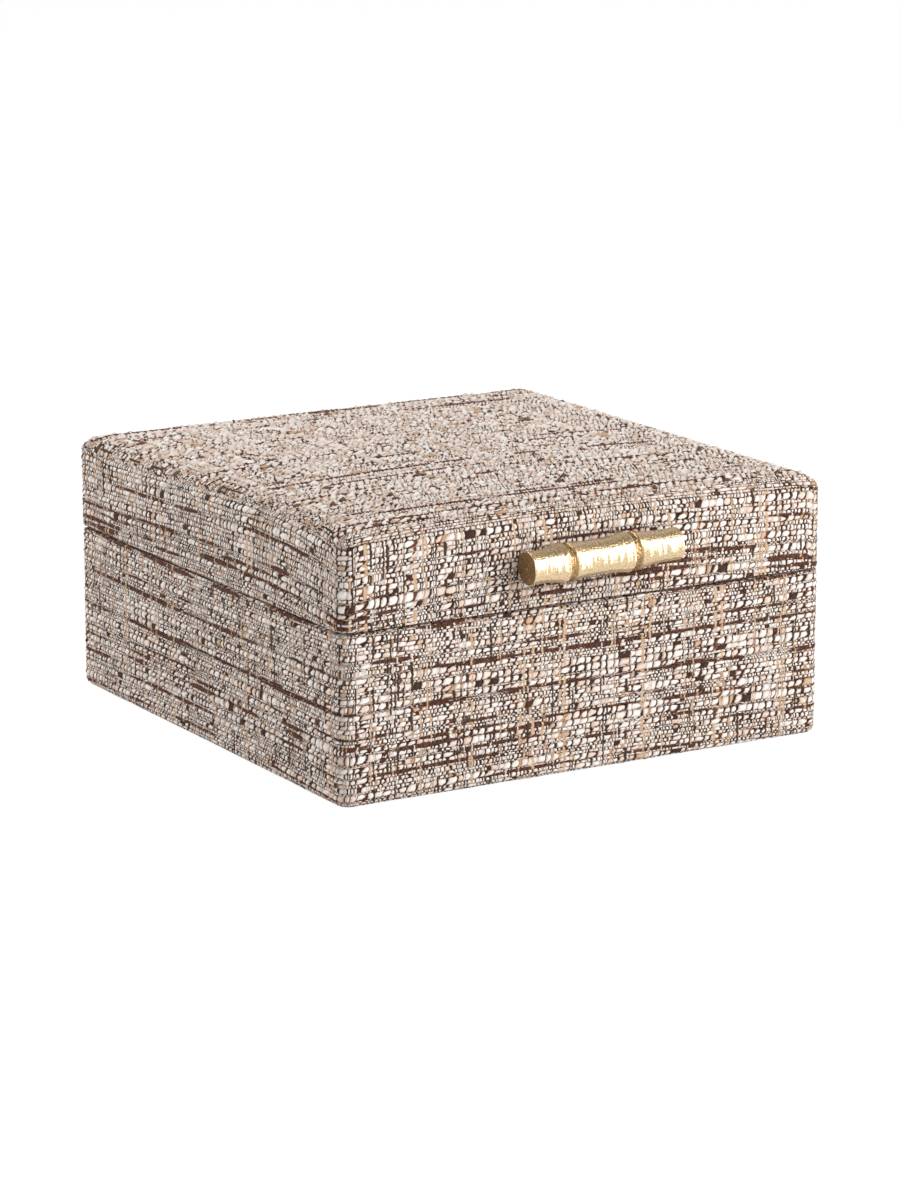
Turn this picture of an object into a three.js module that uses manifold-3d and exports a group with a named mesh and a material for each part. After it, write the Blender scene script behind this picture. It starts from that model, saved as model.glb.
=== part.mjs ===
// Keepsake box: a tweed-covered base, a hinged lid with a padded top and a cast bamboo pull.
// Millimetres, +Z up. The origin is the centre of the footprint on the surface the box stands on.
// +X runs to the right along the front, and the front faces -Y.
import * as THREE from "three";
import { mergeVertices } from "three/addons/utils/BufferGeometryUtils.js";
import Module from "manifold-3d";

// Outer form
const WIDTH = 200;
const DEPTH = 204;
const SEAM_HEIGHT = 61.9;
const LID_SIDE_HEIGHT = 31.1;
const CORNER_RADIUS = 5;
const EDGE_RADIUS = 2;

// Padded top: a rounded shoulder along the edges and a shallow dome over the whole top
const SHOULDER_RISE = 4.2;
const SHOULDER_RUN = 14;
const DOME_RISE = 2.8;
const COVER_JOIN_DROP = 1.5;
const CROWN_STEPS = 20;

// Boards, cloth and lining
const WALL = 8;
const BOTTOM_PANEL = 5;
const TOP_PANEL = 4.5;
const FOAM_EDGE = 1.3;
const CLOTH = 1.2;
const LINING = 1.5;
const LINING_DROP = 2;
const TURN_IN = 10;
const TURN_UNDER = 12;
const PAD = 1.6;
const PAD_STANDOFF = 0.4;
const INNER_CORNER_RADIUS = 0.8;

// Clearances
const GLUE_GAP = 0.25;
const RIM_GAP = 0.36;
const RUNNING_GAP = 0.3;
const BEVEL_GAP = 0.4;

// Stop hinges: the back edges are bevelled at half the opening angle and meet when the lid is open
const OPEN_ANGLE = 96;
const PIN_INSET = 3.5;
const HINGE_INSET = 38;
const HINGE_LENGTH = 34;
const LID_KNUCKLE_LENGTH = 12;
const KNUCKLE_RADIUS = 1.8;
const PIN_RADIUS = 0.7;
const LEAF = 1;
const LEAF_WIDTH = 6;
const LEAF_SCREW_SPACING = 24;
const LEAF_SCREW_SETBACK = 3.8;
const LEAF_SCREW_HEAD_RADIUS = 1.6;
const LEAF_SCREW_HEAD_HEIGHT = 0.9;
const LEAF_SCREW_SHANK_RADIUS = 0.8;
const LEAF_SCREW_LENGTH = 9;

// Bamboo pull: three stems, each with a waist, parted by two grooves at the nodes
const STEM_LEFT_LENGTH = 14.1;
const STEM_MIDDLE_LENGTH = 24.3;
const STEM_RIGHT_LENGTH = 18.7;
const END_LEFT_RADIUS = 5.8;
const END_RIGHT_RADIUS = 5.6;
const NODE_LIP_RADIUS = 6.9;
const NODE_FOOT_RADIUS = 6.6;
const GROOVE_RADIUS = 6;
const GROOVE_WIDTH = 2.4;
const STEM_WAIST = 0.55;
const RIM_ROUND = 0.5;
const STEM_STEPS = 4;
const PULL_HEIGHT = 17.9;
const PULL_STANDOFF = 7.75;
const POST_SPACING = 32;
const POST_RADIUS = 3;
const PULL_SCREW_RADIUS = 1.9;
const PULL_SCREW_DEPTH = 5;
const PULL_SCREW_HEAD_RADIUS = 3.4;
const PULL_SCREW_HEAD_HEIGHT = 2;
const COUNTERBORE_DEPTH = 3;

// Facets of the round shapes
const CORNER_STEPS = 4;
const EDGE_STEPS = 2;
const ROUND_STEPS = 24;
const SMALL_ROUND_STEPS = 14;
// Length by which a cutting shape runs past the surface that it cuts
const OVERCUT = 1;

// Places that follow from the sizes above
const BASE_RIM = SEAM_HEIGHT - RIM_GAP / 2;
const LID_RIM = SEAM_HEIGHT + RIM_GAP / 2;
const LID_EDGE = SEAM_HEIGHT + LID_SIDE_HEIGHT;
const LID_PEAK = LID_EDGE + SHOULDER_RISE + DOME_RISE;
const BOARD_INSET = CLOTH + GLUE_GAP;
const WALL_INNER_INSET = BOARD_INSET + WALL;
const TURN_IN_INSET = WALL_INNER_INSET + GLUE_GAP;
const OPENING_INSET = TURN_IN_INSET + CLOTH;
const LINING_INSET = OPENING_INSET + GLUE_GAP;
const CAVITY_INSET = LINING_INSET + LINING;
const PANEL_LOW = PAD_STANDOFF + BOARD_INSET;
const PANEL_HIGH = PANEL_LOW + BOTTOM_PANEL;
const FLOOR_HIGH = PANEL_HIGH + GLUE_GAP + LINING;
const LID_PANEL_HIGH = LID_EDGE - BOARD_INSET - FOAM_EDGE - GLUE_GAP;
const LID_PANEL_LOW = LID_PANEL_HIGH - TOP_PANEL;
const CEILING_LOW = LID_PANEL_LOW - GLUE_GAP - LINING;
const PIN_Y = DEPTH / 2 - PIN_INSET;
const HALF_STOP = THREE.MathUtils.degToRad(OPEN_ANGLE / 2);
const PULL_LENGTH = STEM_LEFT_LENGTH + STEM_MIDDLE_LENGTH + STEM_RIGHT_LENGTH + 2 * GROOVE_WIDTH;
const PULL_Y = -DEPTH / 2 - PULL_STANDOFF;
const PULL_Z = SEAM_HEIGHT + PULL_HEIGHT;
const PULL_SCREW_SEAT_Y = -DEPTH / 2 + WALL_INNER_INSET - COUNTERBORE_DEPTH;

const TWEED = { color: 0xb9a698, roughness: 0.95, metalness: 0 };
const BOARD = { color: 0xb7976b, roughness: 0.85, metalness: 0 };
const FELT = { color: 0x40352d, roughness: 0.95, metalness: 0 };
const VELVET = { color: 0x6b5343, roughness: 0.9, metalness: 0 };
const FOAM = { color: 0xe8e1cd, roughness: 0.95, metalness: 0 };
const BRASS = { color: 0xcaa763, roughness: 0.35, metalness: 1 };
const STEEL = { color: 0xb4b2ad, roughness: 0.4, metalness: 1 };

const wasm = await Module();
wasm.setup();

// Solids

// Turns a closed geometry into a solid that can be cut and joined.
function solid(geometry) {
  const bare = geometry.clone();
  bare.deleteAttribute("normal");
  bare.deleteAttribute("uv");
  const welded = mergeVertices(bare);
  const vertProperties = Float32Array.from(welded.attributes.position.array);
  const triVerts = Uint32Array.from(welded.index.array);
  return new wasm.Manifold(new wasm.Mesh({ numProp: 3, vertProperties, triVerts }));
}

// Makes a named mesh of a solid, with a material of its own.
function piece(name, body, finish) {
  const cut = body.getMesh();
  const geometry = new THREE.BufferGeometry();
  geometry.setAttribute("position", new THREE.BufferAttribute(cut.vertProperties, 3));
  geometry.setIndex(new THREE.BufferAttribute(cut.triVerts, 1));
  geometry.computeVertexNormals();
  const material = new THREE.MeshStandardMaterial({ ...finish, flatShading: true });
  const mesh = new THREE.Mesh(geometry, material);
  mesh.name = name;
  return mesh;
}

function box(xLow, xHigh, yLow, yHigh, zLow, zHigh) {
  const geometry = new THREE.BoxGeometry(xHigh - xLow, yHigh - yLow, zHigh - zLow);
  geometry.translate((xLow + xHigh) / 2, (yLow + yHigh) / 2, (zLow + zHigh) / 2);
  return solid(geometry);
}

function slab(zLow, zHigh) {
  return box(-WIDTH, WIDTH, -DEPTH, DEPTH, zLow, zHigh);
}

// Round rod along X.
function rodX(radius, xLow, xHigh, y, z) {
  const geometry = new THREE.CylinderGeometry(radius, radius, xHigh - xLow, SMALL_ROUND_STEPS);
  geometry.rotateZ(Math.PI / 2);
  geometry.translate((xLow + xHigh) / 2, y, z);
  return solid(geometry);
}

// Round rod along Y.
function rodY(radius, yLow, yHigh, x, z) {
  const geometry = new THREE.CylinderGeometry(radius, radius, yHigh - yLow, SMALL_ROUND_STEPS);
  geometry.translate(x, (yLow + yHigh) / 2, z);
  return solid(geometry);
}

// The footprint drawn in by an inset, with round corners.
function footprint(inset) {
  const x = WIDTH / 2 - inset;
  const y = DEPTH / 2 - inset;
  const r = Math.max(CORNER_RADIUS - inset, INNER_CORNER_RADIUS);
  const shape = new THREE.Shape();
  shape.absarc(x - r, y - r, r, 0, Math.PI / 2);
  shape.absarc(r - x, y - r, r, Math.PI / 2, Math.PI);
  shape.absarc(r - x, r - y, r, Math.PI, 1.5 * Math.PI);
  shape.absarc(x - r, r - y, r, 1.5 * Math.PI, 2 * Math.PI);
  return shape;
}

// The inset footprint raised from one height to another, with its end edges rounded.
function prism(inset, zLow, zHigh, edge = 0) {
  const geometry = new THREE.ExtrudeGeometry(footprint(inset), {
    depth: zHigh - zLow - 2 * edge,
    curveSegments: CORNER_STEPS,
    bevelEnabled: edge > 0,
    bevelThickness: edge,
    bevelSize: edge,
    bevelOffset: -edge,
    bevelSegments: EDGE_STEPS,
  });
  geometry.translate(0, 0, zLow + edge);
  return solid(geometry);
}

// The round left on a rim once a body is drawn in by an inset.
function rimRound(inset) {
  return Math.max(EDGE_RADIUS - inset, INNER_CORNER_RADIUS / 2);
}

// Cutter for the bevel along the back edge. Side is 1 for the base and -1 for the lid.
function backBevel(inset, side) {
  const reach = WALL_INNER_INSET * 4;
  const geometry = new THREE.BoxGeometry(WIDTH + 2 * OVERCUT, reach, reach);
  geometry.translate(0, 0, side * (reach / 2 - BEVEL_GAP / 2 - inset));
  geometry.rotateX(-side * HALF_STOP);
  geometry.translate(0, PIN_Y, SEAM_HEIGHT);
  return solid(geometry);
}

// The whole base drawn in by an inset.
function baseBody(inset) {
  const block = prism(inset, PAD_STANDOFF + inset, BASE_RIM - inset, rimRound(inset));
  return block.subtract(backBevel(inset, 1));
}

// Height of the padded top over a point of the footprint.
function crownHeight(x, y) {
  const overX = Math.max(Math.abs(x) - WIDTH / 2 + SHOULDER_RUN, 0);
  const overY = Math.max(Math.abs(y) - DEPTH / 2 + SHOULDER_RUN, 0);
  const slide = Math.min(Math.hypot(overX, overY) / SHOULDER_RUN, 1);
  const shoulder = SHOULDER_RISE * Math.sqrt(1 - slide ** 2);
  const dome = DOME_RISE * (1 - (2 * x / WIDTH) ** 2) * (1 - (2 * y / DEPTH) ** 2);
  return LID_EDGE + shoulder + dome;
}

// Place of a grid line of the padded top: closest near the edge, with one line past the edge.
function crownLine(t, half) {
  const last = CROWN_STEPS / 2;
  const step = Math.round(Math.abs(t) * last);
  const along = step < last ? half * (1 - (1 - step / (last - 1)) ** 2) : half + OVERCUT;
  return Math.sign(t) * along;
}

// Block under the padded top, lowered by an inset.
function crownedBlock(inset, zLow) {
  const geometry = new THREE.BoxGeometry(2, 2, 1, CROWN_STEPS, CROWN_STEPS, 1);
  const position = geometry.attributes.position;
  for (let i = 0; i < position.count; i += 1) {
    const x = crownLine(position.getX(i), WIDTH / 2);
    const y = crownLine(position.getY(i), DEPTH / 2);
    const z = position.getZ(i) > 0 ? crownHeight(x, y) - inset : zLow;
    position.setXYZ(i, x, y, z);
  }
  return solid(geometry);
}

// The whole lid drawn in by an inset.
function lidBody(inset) {
  const block = prism(inset, LID_RIM + inset, LID_PEAK + 2 * EDGE_RADIUS, rimRound(inset));
  const crowned = block.intersect(crownedBlock(inset, LID_RIM - OVERCUT));
  return crowned.subtract(backBevel(inset, -1));
}

// Countersunk screw with its head level with z = 0, grown by a clearance where it is a cutter.
function leafScrew(grow = 0) {
  const profile = [
    new THREE.Vector2(0, -LEAF_SCREW_LENGTH - grow),
    new THREE.Vector2(LEAF_SCREW_SHANK_RADIUS + grow, -LEAF_SCREW_LENGTH - grow),
    new THREE.Vector2(LEAF_SCREW_SHANK_RADIUS + grow, -LEAF_SCREW_HEAD_HEIGHT - grow),
    new THREE.Vector2(LEAF_SCREW_HEAD_RADIUS + grow, -grow),
    new THREE.Vector2(LEAF_SCREW_HEAD_RADIUS + grow, grow),
    new THREE.Vector2(0, grow),
  ];
  const geometry = new THREE.LatheGeometry(profile, SMALL_ROUND_STEPS);
  geometry.rotateX(Math.PI / 2);
  return geometry;
}

// Places a leaf screw on a hinge. Side is -1 for the base leaf and 1 for the lid leaf.
function placedLeafScrew(x, side, grow = 0) {
  const geometry = leafScrew(grow);
  if (side > 0) geometry.rotateX(Math.PI);
  geometry.translate(x, PIN_Y - LEAF_SCREW_SETBACK, SEAM_HEIGHT + side * RIM_GAP / 2);
  return solid(geometry);
}

const HINGES = [
  { name: "hinge_left", x: HINGE_INSET - WIDTH / 2 },
  { name: "hinge_right", x: WIDTH / 2 - HINGE_INSET },
];
const LEAF_SCREW_OFFSETS = [-LEAF_SCREW_SPACING / 2, LEAF_SCREW_SPACING / 2];

// Cuts away what a hinge needs: the pocket of its leaf, the space round its knuckles, its screws.
function hingeCutter(x, side) {
  const half = HINGE_LENGTH / 2 + RUNNING_GAP;
  const rim = SEAM_HEIGHT + side * RIM_GAP / 2;
  const deep = rim + side * (LEAF + GLUE_GAP);
  const clear = rim - side * OVERCUT;
  const yLow = PIN_Y - LEAF_WIDTH - RUNNING_GAP;
  const pocket = box(x - half, x + half, yLow, PIN_Y, Math.min(deep, clear), Math.max(deep, clear));
  const knuckle = rodX(KNUCKLE_RADIUS + RUNNING_GAP, x - half, x + half, PIN_Y, SEAM_HEIGHT);
  const holes = LEAF_SCREW_OFFSETS.map((offset) => placedLeafScrew(x + offset, side, RUNNING_GAP));
  return holes.reduce((cutter, hole) => cutter.add(hole), pocket.add(knuckle));
}

function cutHinges(body, side) {
  return HINGES.reduce((rest, hinge) => rest.subtract(hingeCutter(hinge.x, side)), body);
}

// Cuts the two screw holes of the pull, with their counterbores on the inside.
function cutPullHoles(body) {
  return [-POST_SPACING / 2, POST_SPACING / 2].reduce((rest, x) => {
    const radius = PULL_SCREW_RADIUS + RUNNING_GAP;
    const innerEnd = -DEPTH / 2 + WALL_INNER_INSET + OVERCUT;
    const hole = rodY(radius, -DEPTH / 2 - OVERCUT, innerEnd, x, PULL_Z);
    const bore = rodY(PULL_SCREW_HEAD_RADIUS + RUNNING_GAP, PULL_SCREW_SEAT_Y, innerEnd, x, PULL_Z);
    return rest.subtract(hole).subtract(bore);
  }, body);
}

// Box walls

// Four boards between two heights, cut to the form of the body they belong to.
function wallBoards(form, zLow, zHigh) {
  const x = WIDTH / 2;
  const y = DEPTH / 2;
  const innerX = x - WALL_INNER_INSET;
  const innerY = y - WALL_INNER_INSET;
  const sideY = innerY - GLUE_GAP;
  return {
    front: form.intersect(box(-x, x, -y, -innerY, zLow, zHigh)),
    back: form.intersect(box(-x, x, innerY, y, zLow, zHigh)),
    left: form.intersect(box(-x, -innerX, -sideY, sideY, zLow, zHigh)),
    right: form.intersect(box(innerX, x, -sideY, sideY, zLow, zHigh)),
  };
}

// Four lining boards between two heights, inside the turned-in cloth.
function liningBoards(zLow, zHigh) {
  const outerX = WIDTH / 2 - LINING_INSET;
  const outerY = DEPTH / 2 - LINING_INSET;
  const innerX = WIDTH / 2 - CAVITY_INSET;
  const innerY = DEPTH / 2 - CAVITY_INSET;
  const sideY = innerY - GLUE_GAP;
  return {
    front: box(-outerX, outerX, -outerY, -innerY, zLow, zHigh),
    back: box(-outerX, outerX, innerY, outerY, zLow, zHigh),
    left: box(-outerX, -innerX, -sideY, sideY, zLow, zHigh),
    right: box(innerX, outerX, -sideY, sideY, zLow, zHigh),
  };
}

// Base

function buildBase() {
  const base = new THREE.Group();
  const boards = baseBody(BOARD_INSET);
  const walls = wallBoards(boards, PANEL_HIGH + GLUE_GAP, BASE_RIM);
  walls.back = cutHinges(walls.back, -1);
  const linings = liningBoards(FLOOR_HIGH + GLUE_GAP, BASE_RIM - LINING_DROP);
  const floor = prism(TURN_IN_INSET, PANEL_HIGH + GLUE_GAP, FLOOR_HIGH);

  base.add(piece("base_pad", prism(TURN_UNDER + RUNNING_GAP, 0, PAD), FELT));
  base.add(piece("base_bottom_panel", boards.intersect(slab(PANEL_LOW, PANEL_HIGH)), BOARD));
  for (const [side, wall] of Object.entries(walls)) {
    base.add(piece(`base_${side}_wall`, wall, BOARD));
  }
  base.add(piece("base_fabric_wrap", baseWrap(), TWEED));
  base.add(piece("base_lining_floor", floor, VELVET));
  for (const [side, lining] of Object.entries(linings)) {
    base.add(piece(`base_lining_${side}`, lining, VELVET));
  }
  return base;
}

// Cloth round the base, turned under the bottom and over the rim.
function baseWrap() {
  const turnInLow = BASE_RIM - TURN_IN;
  const top = BASE_RIM + OVERCUT;
  const turnIn = prism(TURN_IN_INSET, turnInLow, top);
  const core = baseBody(CLOTH).subtract(turnIn);
  const opening = prism(OPENING_INSET, turnInLow - OVERCUT, top);
  const underside = prism(TURN_UNDER, -OVERCUT, PANEL_HIGH);
  const wrap = baseBody(0).subtract(core).subtract(opening).subtract(underside);
  return cutHinges(wrap, -1);
}

// Lid

function buildLid() {
  const lid = new THREE.Group();
  const boards = lidBody(BOARD_INSET);
  const walls = wallBoards(boards, LID_RIM, LID_PANEL_LOW - GLUE_GAP);
  walls.back = cutHinges(walls.back, 1);
  walls.front = cutPullHoles(walls.front);
  const linings = liningBoards(LID_RIM + LINING_DROP, CEILING_LOW - GLUE_GAP);
  const ceiling = prism(TURN_IN_INSET, CEILING_LOW, LID_PANEL_LOW - GLUE_GAP);
  const foam = boards.intersect(slab(LID_PANEL_HIGH + GLUE_GAP, LID_PEAK));

  lid.add(piece("lid_top_panel", boards.intersect(slab(LID_PANEL_LOW, LID_PANEL_HIGH)), BOARD));
  for (const [side, wall] of Object.entries(walls)) {
    lid.add(piece(`lid_${side}_wall`, wall, BOARD));
  }
  lid.add(piece("lid_foam_pad", foam, FOAM));
  lid.add(piece("lid_side_wrap", lidSideWrap(), TWEED));
  lid.add(piece("lid_top_cover", lidTopCover(), TWEED));
  lid.add(piece("lid_lining_top", ceiling, VELVET));
  for (const [side, lining] of Object.entries(linings)) {
    lid.add(piece(`lid_lining_${side}`, lining, VELVET));
  }
  lid.add(buildPull());
  return lid;
}

// Cloth round the lid's sides, turned over the rim and ending below the shoulder.
function lidSideWrap() {
  const turnInHigh = LID_RIM + TURN_IN;
  const low = LID_RIM - OVERCUT;
  const turnIn = prism(TURN_IN_INSET, low, turnInHigh);
  const core = lidBody(CLOTH).subtract(turnIn);
  const opening = prism(OPENING_INSET, low, turnInHigh + OVERCUT);
  const sides = slab(low, LID_EDGE - COVER_JOIN_DROP - GLUE_GAP / 2);
  const wrap = lidBody(0).subtract(core).subtract(opening).intersect(sides);
  return cutPullHoles(cutHinges(wrap, 1));
}

// Cloth over the foam, down to its join with the strip round the sides.
function lidTopCover() {
  const top = slab(LID_EDGE - COVER_JOIN_DROP + GLUE_GAP / 2, LID_PEAK + OVERCUT);
  return lidBody(0).subtract(lidBody(CLOTH)).intersect(top);
}

// Pull

// Outline of one bamboo stem: its radius narrows to a waist between its two ends.
function stemPoints(start, length, startRadius, endRadius) {
  const points = [];
  for (let i = 0; i <= STEM_STEPS; i += 1) {
    const t = i / STEM_STEPS;
    const along = start + RIM_ROUND + t * (length - 2 * RIM_ROUND);
    const taper = THREE.MathUtils.lerp(startRadius, endRadius, t);
    points.push(new THREE.Vector2(taper - STEM_WAIST * 4 * t * (1 - t), along));
  }
  const first = new THREE.Vector2(startRadius - RIM_ROUND, start);
  const last = new THREE.Vector2(endRadius - RIM_ROUND, start + length);
  return [first, ...points, last];
}

// Outline of a groove between two stems.
function groovePoints(start) {
  const edge = GROOVE_WIDTH / 4;
  return [
    new THREE.Vector2(GROOVE_RADIUS, start + edge),
    new THREE.Vector2(GROOVE_RADIUS, start + GROOVE_WIDTH - edge),
  ];
}

// Bamboo bar along X, centred, with its posts reaching back to the cloth and their screw bores.
function bambooBar() {
  const middle = STEM_LEFT_LENGTH + GROOVE_WIDTH;
  const right = middle + STEM_MIDDLE_LENGTH + GROOVE_WIDTH;
  const profile = [
    new THREE.Vector2(0, 0),
    ...stemPoints(0, STEM_LEFT_LENGTH, END_LEFT_RADIUS, NODE_LIP_RADIUS),
    ...groovePoints(STEM_LEFT_LENGTH),
    ...stemPoints(middle, STEM_MIDDLE_LENGTH, NODE_FOOT_RADIUS, NODE_LIP_RADIUS),
    ...groovePoints(middle + STEM_MIDDLE_LENGTH),
    ...stemPoints(right, STEM_RIGHT_LENGTH, NODE_FOOT_RADIUS, END_RIGHT_RADIUS),
    new THREE.Vector2(0, PULL_LENGTH),
  ];
  const geometry = new THREE.LatheGeometry(profile, ROUND_STEPS);
  geometry.rotateZ(-Math.PI / 2);
  geometry.translate(-PULL_LENGTH / 2, PULL_Y, PULL_Z);
  return [-POST_SPACING / 2, POST_SPACING / 2].reduce((bar, x) => {
    const postEnd = -DEPTH / 2 - RUNNING_GAP;
    const boreEnd = postEnd - PULL_SCREW_DEPTH - RUNNING_GAP;
    const post = rodY(POST_RADIUS, PULL_Y, postEnd, x, PULL_Z);
    const bore = rodY(PULL_SCREW_RADIUS + RUNNING_GAP, boreEnd, postEnd + OVERCUT, x, PULL_Z);
    return bar.add(post).subtract(bore);
  }, solid(geometry));
}

// Machine screw from inside the lid's front wall into a post of the pull.
function pullScrew(x) {
  const tip = -DEPTH / 2 - RUNNING_GAP - PULL_SCREW_DEPTH;
  const seat = PULL_SCREW_SEAT_Y + GLUE_GAP;
  const shank = rodY(PULL_SCREW_RADIUS, tip, seat + PULL_SCREW_HEAD_HEIGHT / 2, x, PULL_Z);
  return shank.add(rodY(PULL_SCREW_HEAD_RADIUS, seat, seat + PULL_SCREW_HEAD_HEIGHT, x, PULL_Z));
}

function buildPull() {
  const pull = new THREE.Group();
  pull.add(piece("handle_bar", bambooBar(), BRASS));
  pull.add(piece("handle_screw_left", pullScrew(-POST_SPACING / 2), STEEL));
  pull.add(piece("handle_screw_right", pullScrew(POST_SPACING / 2), STEEL));
  return pull;
}

// Hinges

// One leaf with its knuckles. The spans of the knuckles run along the pin from the hinge's middle.
function hingeLeaf(x, side, ownSpans, otherSpans) {
  const half = HINGE_LENGTH / 2;
  const near = SEAM_HEIGHT + side * RIM_GAP / 2;
  const far = near + side * LEAF;
  const yLow = PIN_Y - LEAF_WIDTH;
  let leaf = box(x - half, x + half, yLow, PIN_Y, Math.min(near, far), Math.max(near, far));
  for (const [start, end] of otherSpans) {
    const low = x + start - RUNNING_GAP;
    const high = x + end + RUNNING_GAP;
    leaf = leaf.subtract(rodX(KNUCKLE_RADIUS + RUNNING_GAP, low, high, PIN_Y, SEAM_HEIGHT));
  }
  for (const [start, end] of ownSpans) {
    leaf = leaf.add(rodX(KNUCKLE_RADIUS, x + start, x + end, PIN_Y, SEAM_HEIGHT));
  }
  const end = half + OVERCUT;
  const pinHole = rodX(PIN_RADIUS + RUNNING_GAP, x - end, x + end, PIN_Y, SEAM_HEIGHT);
  leaf = leaf.subtract(pinHole);
  const holes = LEAF_SCREW_OFFSETS.map((offset) => placedLeafScrew(x + offset, side, RUNNING_GAP));
  return holes.reduce((rest, hole) => rest.subtract(hole), leaf);
}

function buildHinge({ name, x }) {
  const hinge = new THREE.Group();
  const half = HINGE_LENGTH / 2;
  const lidHalf = LID_KNUCKLE_LENGTH / 2;
  const lidSpans = [[-lidHalf, lidHalf]];
  const baseSpans = [[-half, -lidHalf - RUNNING_GAP], [lidHalf + RUNNING_GAP, half]];
  hinge.add(piece(`${name}_base_leaf`, hingeLeaf(x, -1, baseSpans, lidSpans), BRASS));
  hinge.add(piece(`${name}_lid_leaf`, hingeLeaf(x, 1, lidSpans, baseSpans), BRASS));
  hinge.add(piece(`${name}_pin`, rodX(PIN_RADIUS, x - half, x + half, PIN_Y, SEAM_HEIGHT), BRASS));
  LEAF_SCREW_OFFSETS.forEach((offset, index) => {
    const number = index + 1;
    hinge.add(piece(`${name}_base_screw_${number}`, placedLeafScrew(x + offset, -1), BRASS));
    hinge.add(piece(`${name}_lid_screw_${number}`, placedLeafScrew(x + offset, 1), BRASS));
  });
  return hinge;
}

const keepsakeBox = new THREE.Group();
keepsakeBox.name = "keepsake_box";
keepsakeBox.add(buildBase(), buildLid(), ...HINGES.map(buildHinge));

export default keepsakeBox;
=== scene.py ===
"""Looks of a tweed-covered keepsake box with a padded lid and a cast brass bamboo pull."""

import logging
import math
from collections.abc import Callable, Sequence
from dataclasses import dataclass, field
from enum import Enum
from functools import partial

import bmesh
import bpy
import numpy as np
from mathutils import Matrix, Vector


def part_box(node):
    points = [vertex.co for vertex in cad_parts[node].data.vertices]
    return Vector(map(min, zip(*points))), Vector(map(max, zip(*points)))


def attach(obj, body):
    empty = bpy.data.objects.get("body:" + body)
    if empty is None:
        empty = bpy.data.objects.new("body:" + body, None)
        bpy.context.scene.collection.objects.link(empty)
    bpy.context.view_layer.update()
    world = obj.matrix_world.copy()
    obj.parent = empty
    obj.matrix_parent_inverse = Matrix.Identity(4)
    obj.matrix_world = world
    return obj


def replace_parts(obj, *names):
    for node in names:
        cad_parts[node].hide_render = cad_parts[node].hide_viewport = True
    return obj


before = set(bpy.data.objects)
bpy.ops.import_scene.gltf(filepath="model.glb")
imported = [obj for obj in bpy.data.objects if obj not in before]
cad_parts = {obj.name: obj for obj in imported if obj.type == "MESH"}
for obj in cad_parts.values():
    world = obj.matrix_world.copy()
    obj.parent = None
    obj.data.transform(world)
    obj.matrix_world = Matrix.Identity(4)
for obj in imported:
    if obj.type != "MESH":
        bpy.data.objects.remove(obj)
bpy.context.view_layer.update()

MM = 0.001
WELD = 1e-4
TINY = 1e-9
NOISE_KNOTS = 256
WEAVE_MAP = "weave"
# Dark slubs, and along the strips' rims the painted shade of the seam between lid and base
SLUB_AND_SEAM_SHADE_ATTRIBUTE = "slub"
BULK_ATTRIBUTE = "bulk"
RAW_ATTRIBUTE = "raw"
# A mix node that blends colours, and a range that eases in and out
COLOURS = {"data_type": "RGBA", "out": 2}
EASED = {"interpolation_type": "SMOOTHSTEP"}

log = logging.getLogger("keepsake_box")

Pair = tuple[float, float]
Sizes = tuple[float, float, float]
Stops = Sequence[tuple[float, str]]
Adder = Callable[..., bpy.types.NodeSocket]


class Side(Enum):
    """The body that a piece of the box belongs to."""

    BASE = "base"
    LID = "lid"

    @property
    def inward(self) -> int:
        """Which way the body lies from the seam, down or up."""
        return -1 if self is Side.BASE else 1


class Wall(Enum):
    """The four walls of the box, by where they stand."""

    FRONT = "front"
    BACK = "back"
    LEFT = "left"
    RIGHT = "right"


def linear(code: str) -> tuple[float, float, float, float]:
    """Turns an sRGB hex value into a linear colour.

    Args:
        code: the colour as a hash sign and six hex digits.

    Returns:
        Linear red, green, blue and full alpha.
    """
    channels = [int(code[k : k + 2], 16) / 255 for k in (1, 3, 5)]
    light = [c / 12.92 if c <= 0.04045 else ((c + 0.055) / 1.055) ** 2.4 for c in channels]
    return (*light, 1.0)


def add_node(
    tree: bpy.types.NodeTree,
    kind: str,
    *values: object,
    out: int | str = 0,
    stops: Stops = (),
    **named: object,
) -> bpy.types.NodeSocket | None:
    """Adds a node with its settings and links.

    Args:
        tree: the tree that the node joins.
        kind: the node's type, then its operation where it has one.
        values: sockets or constants for the first inputs, in order.
        out: the output to hand back.
        stops: places and sRGB colours of a colour ramp.
        named: further inputs, written with a capital, and the node's own properties.

    Returns:
        The chosen output socket.
    """
    kind, *operation = kind.split()
    made = tree.nodes.new("ShaderNode" + kind)
    for name in operation:
        made.operation = name
    for name, value in named.items():
        if name[0].islower():
            setattr(made, name, value)
    if stops:
        ramp = made.color_ramp
        ramp.elements[0].position, ramp.elements[-1].position = stops[0][0], stops[-1][0]
        for place, _ in stops[1:-1]:
            ramp.elements.new(place)
        for element, (_, colour) in zip(ramp.elements, stops):
            element.color = linear(colour)
    sockets = {socket.identifier.replace(" ", "_"): socket for socket in made.inputs}
    fed = list(zip(made.inputs, values))
    fed += [(sockets[name], value) for name, value in named.items() if name[0].isupper()]
    for socket, value in fed:
        if isinstance(value, bpy.types.NodeSocket):
            tree.links.new(value, socket)
        else:
            socket.default_value = value
    return made.outputs[out] if made.outputs else None


def new_material(name: str) -> tuple[bpy.types.Material, Adder]:
    """Makes an empty node material of that name, and returns it with what adds its nodes."""
    material = bpy.data.materials.new(name)
    material.use_nodes = True
    material.node_tree.nodes.clear()
    return material, partial(add_node, material.node_tree)


def smoothstep(value: np.ndarray, low: float, high: float) -> np.ndarray:
    """Eases values from 0 at low to 1 at high."""
    t = np.clip((value - low) / (high - low), 0, 1)
    return t * t * (3 - 2 * t)


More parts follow.
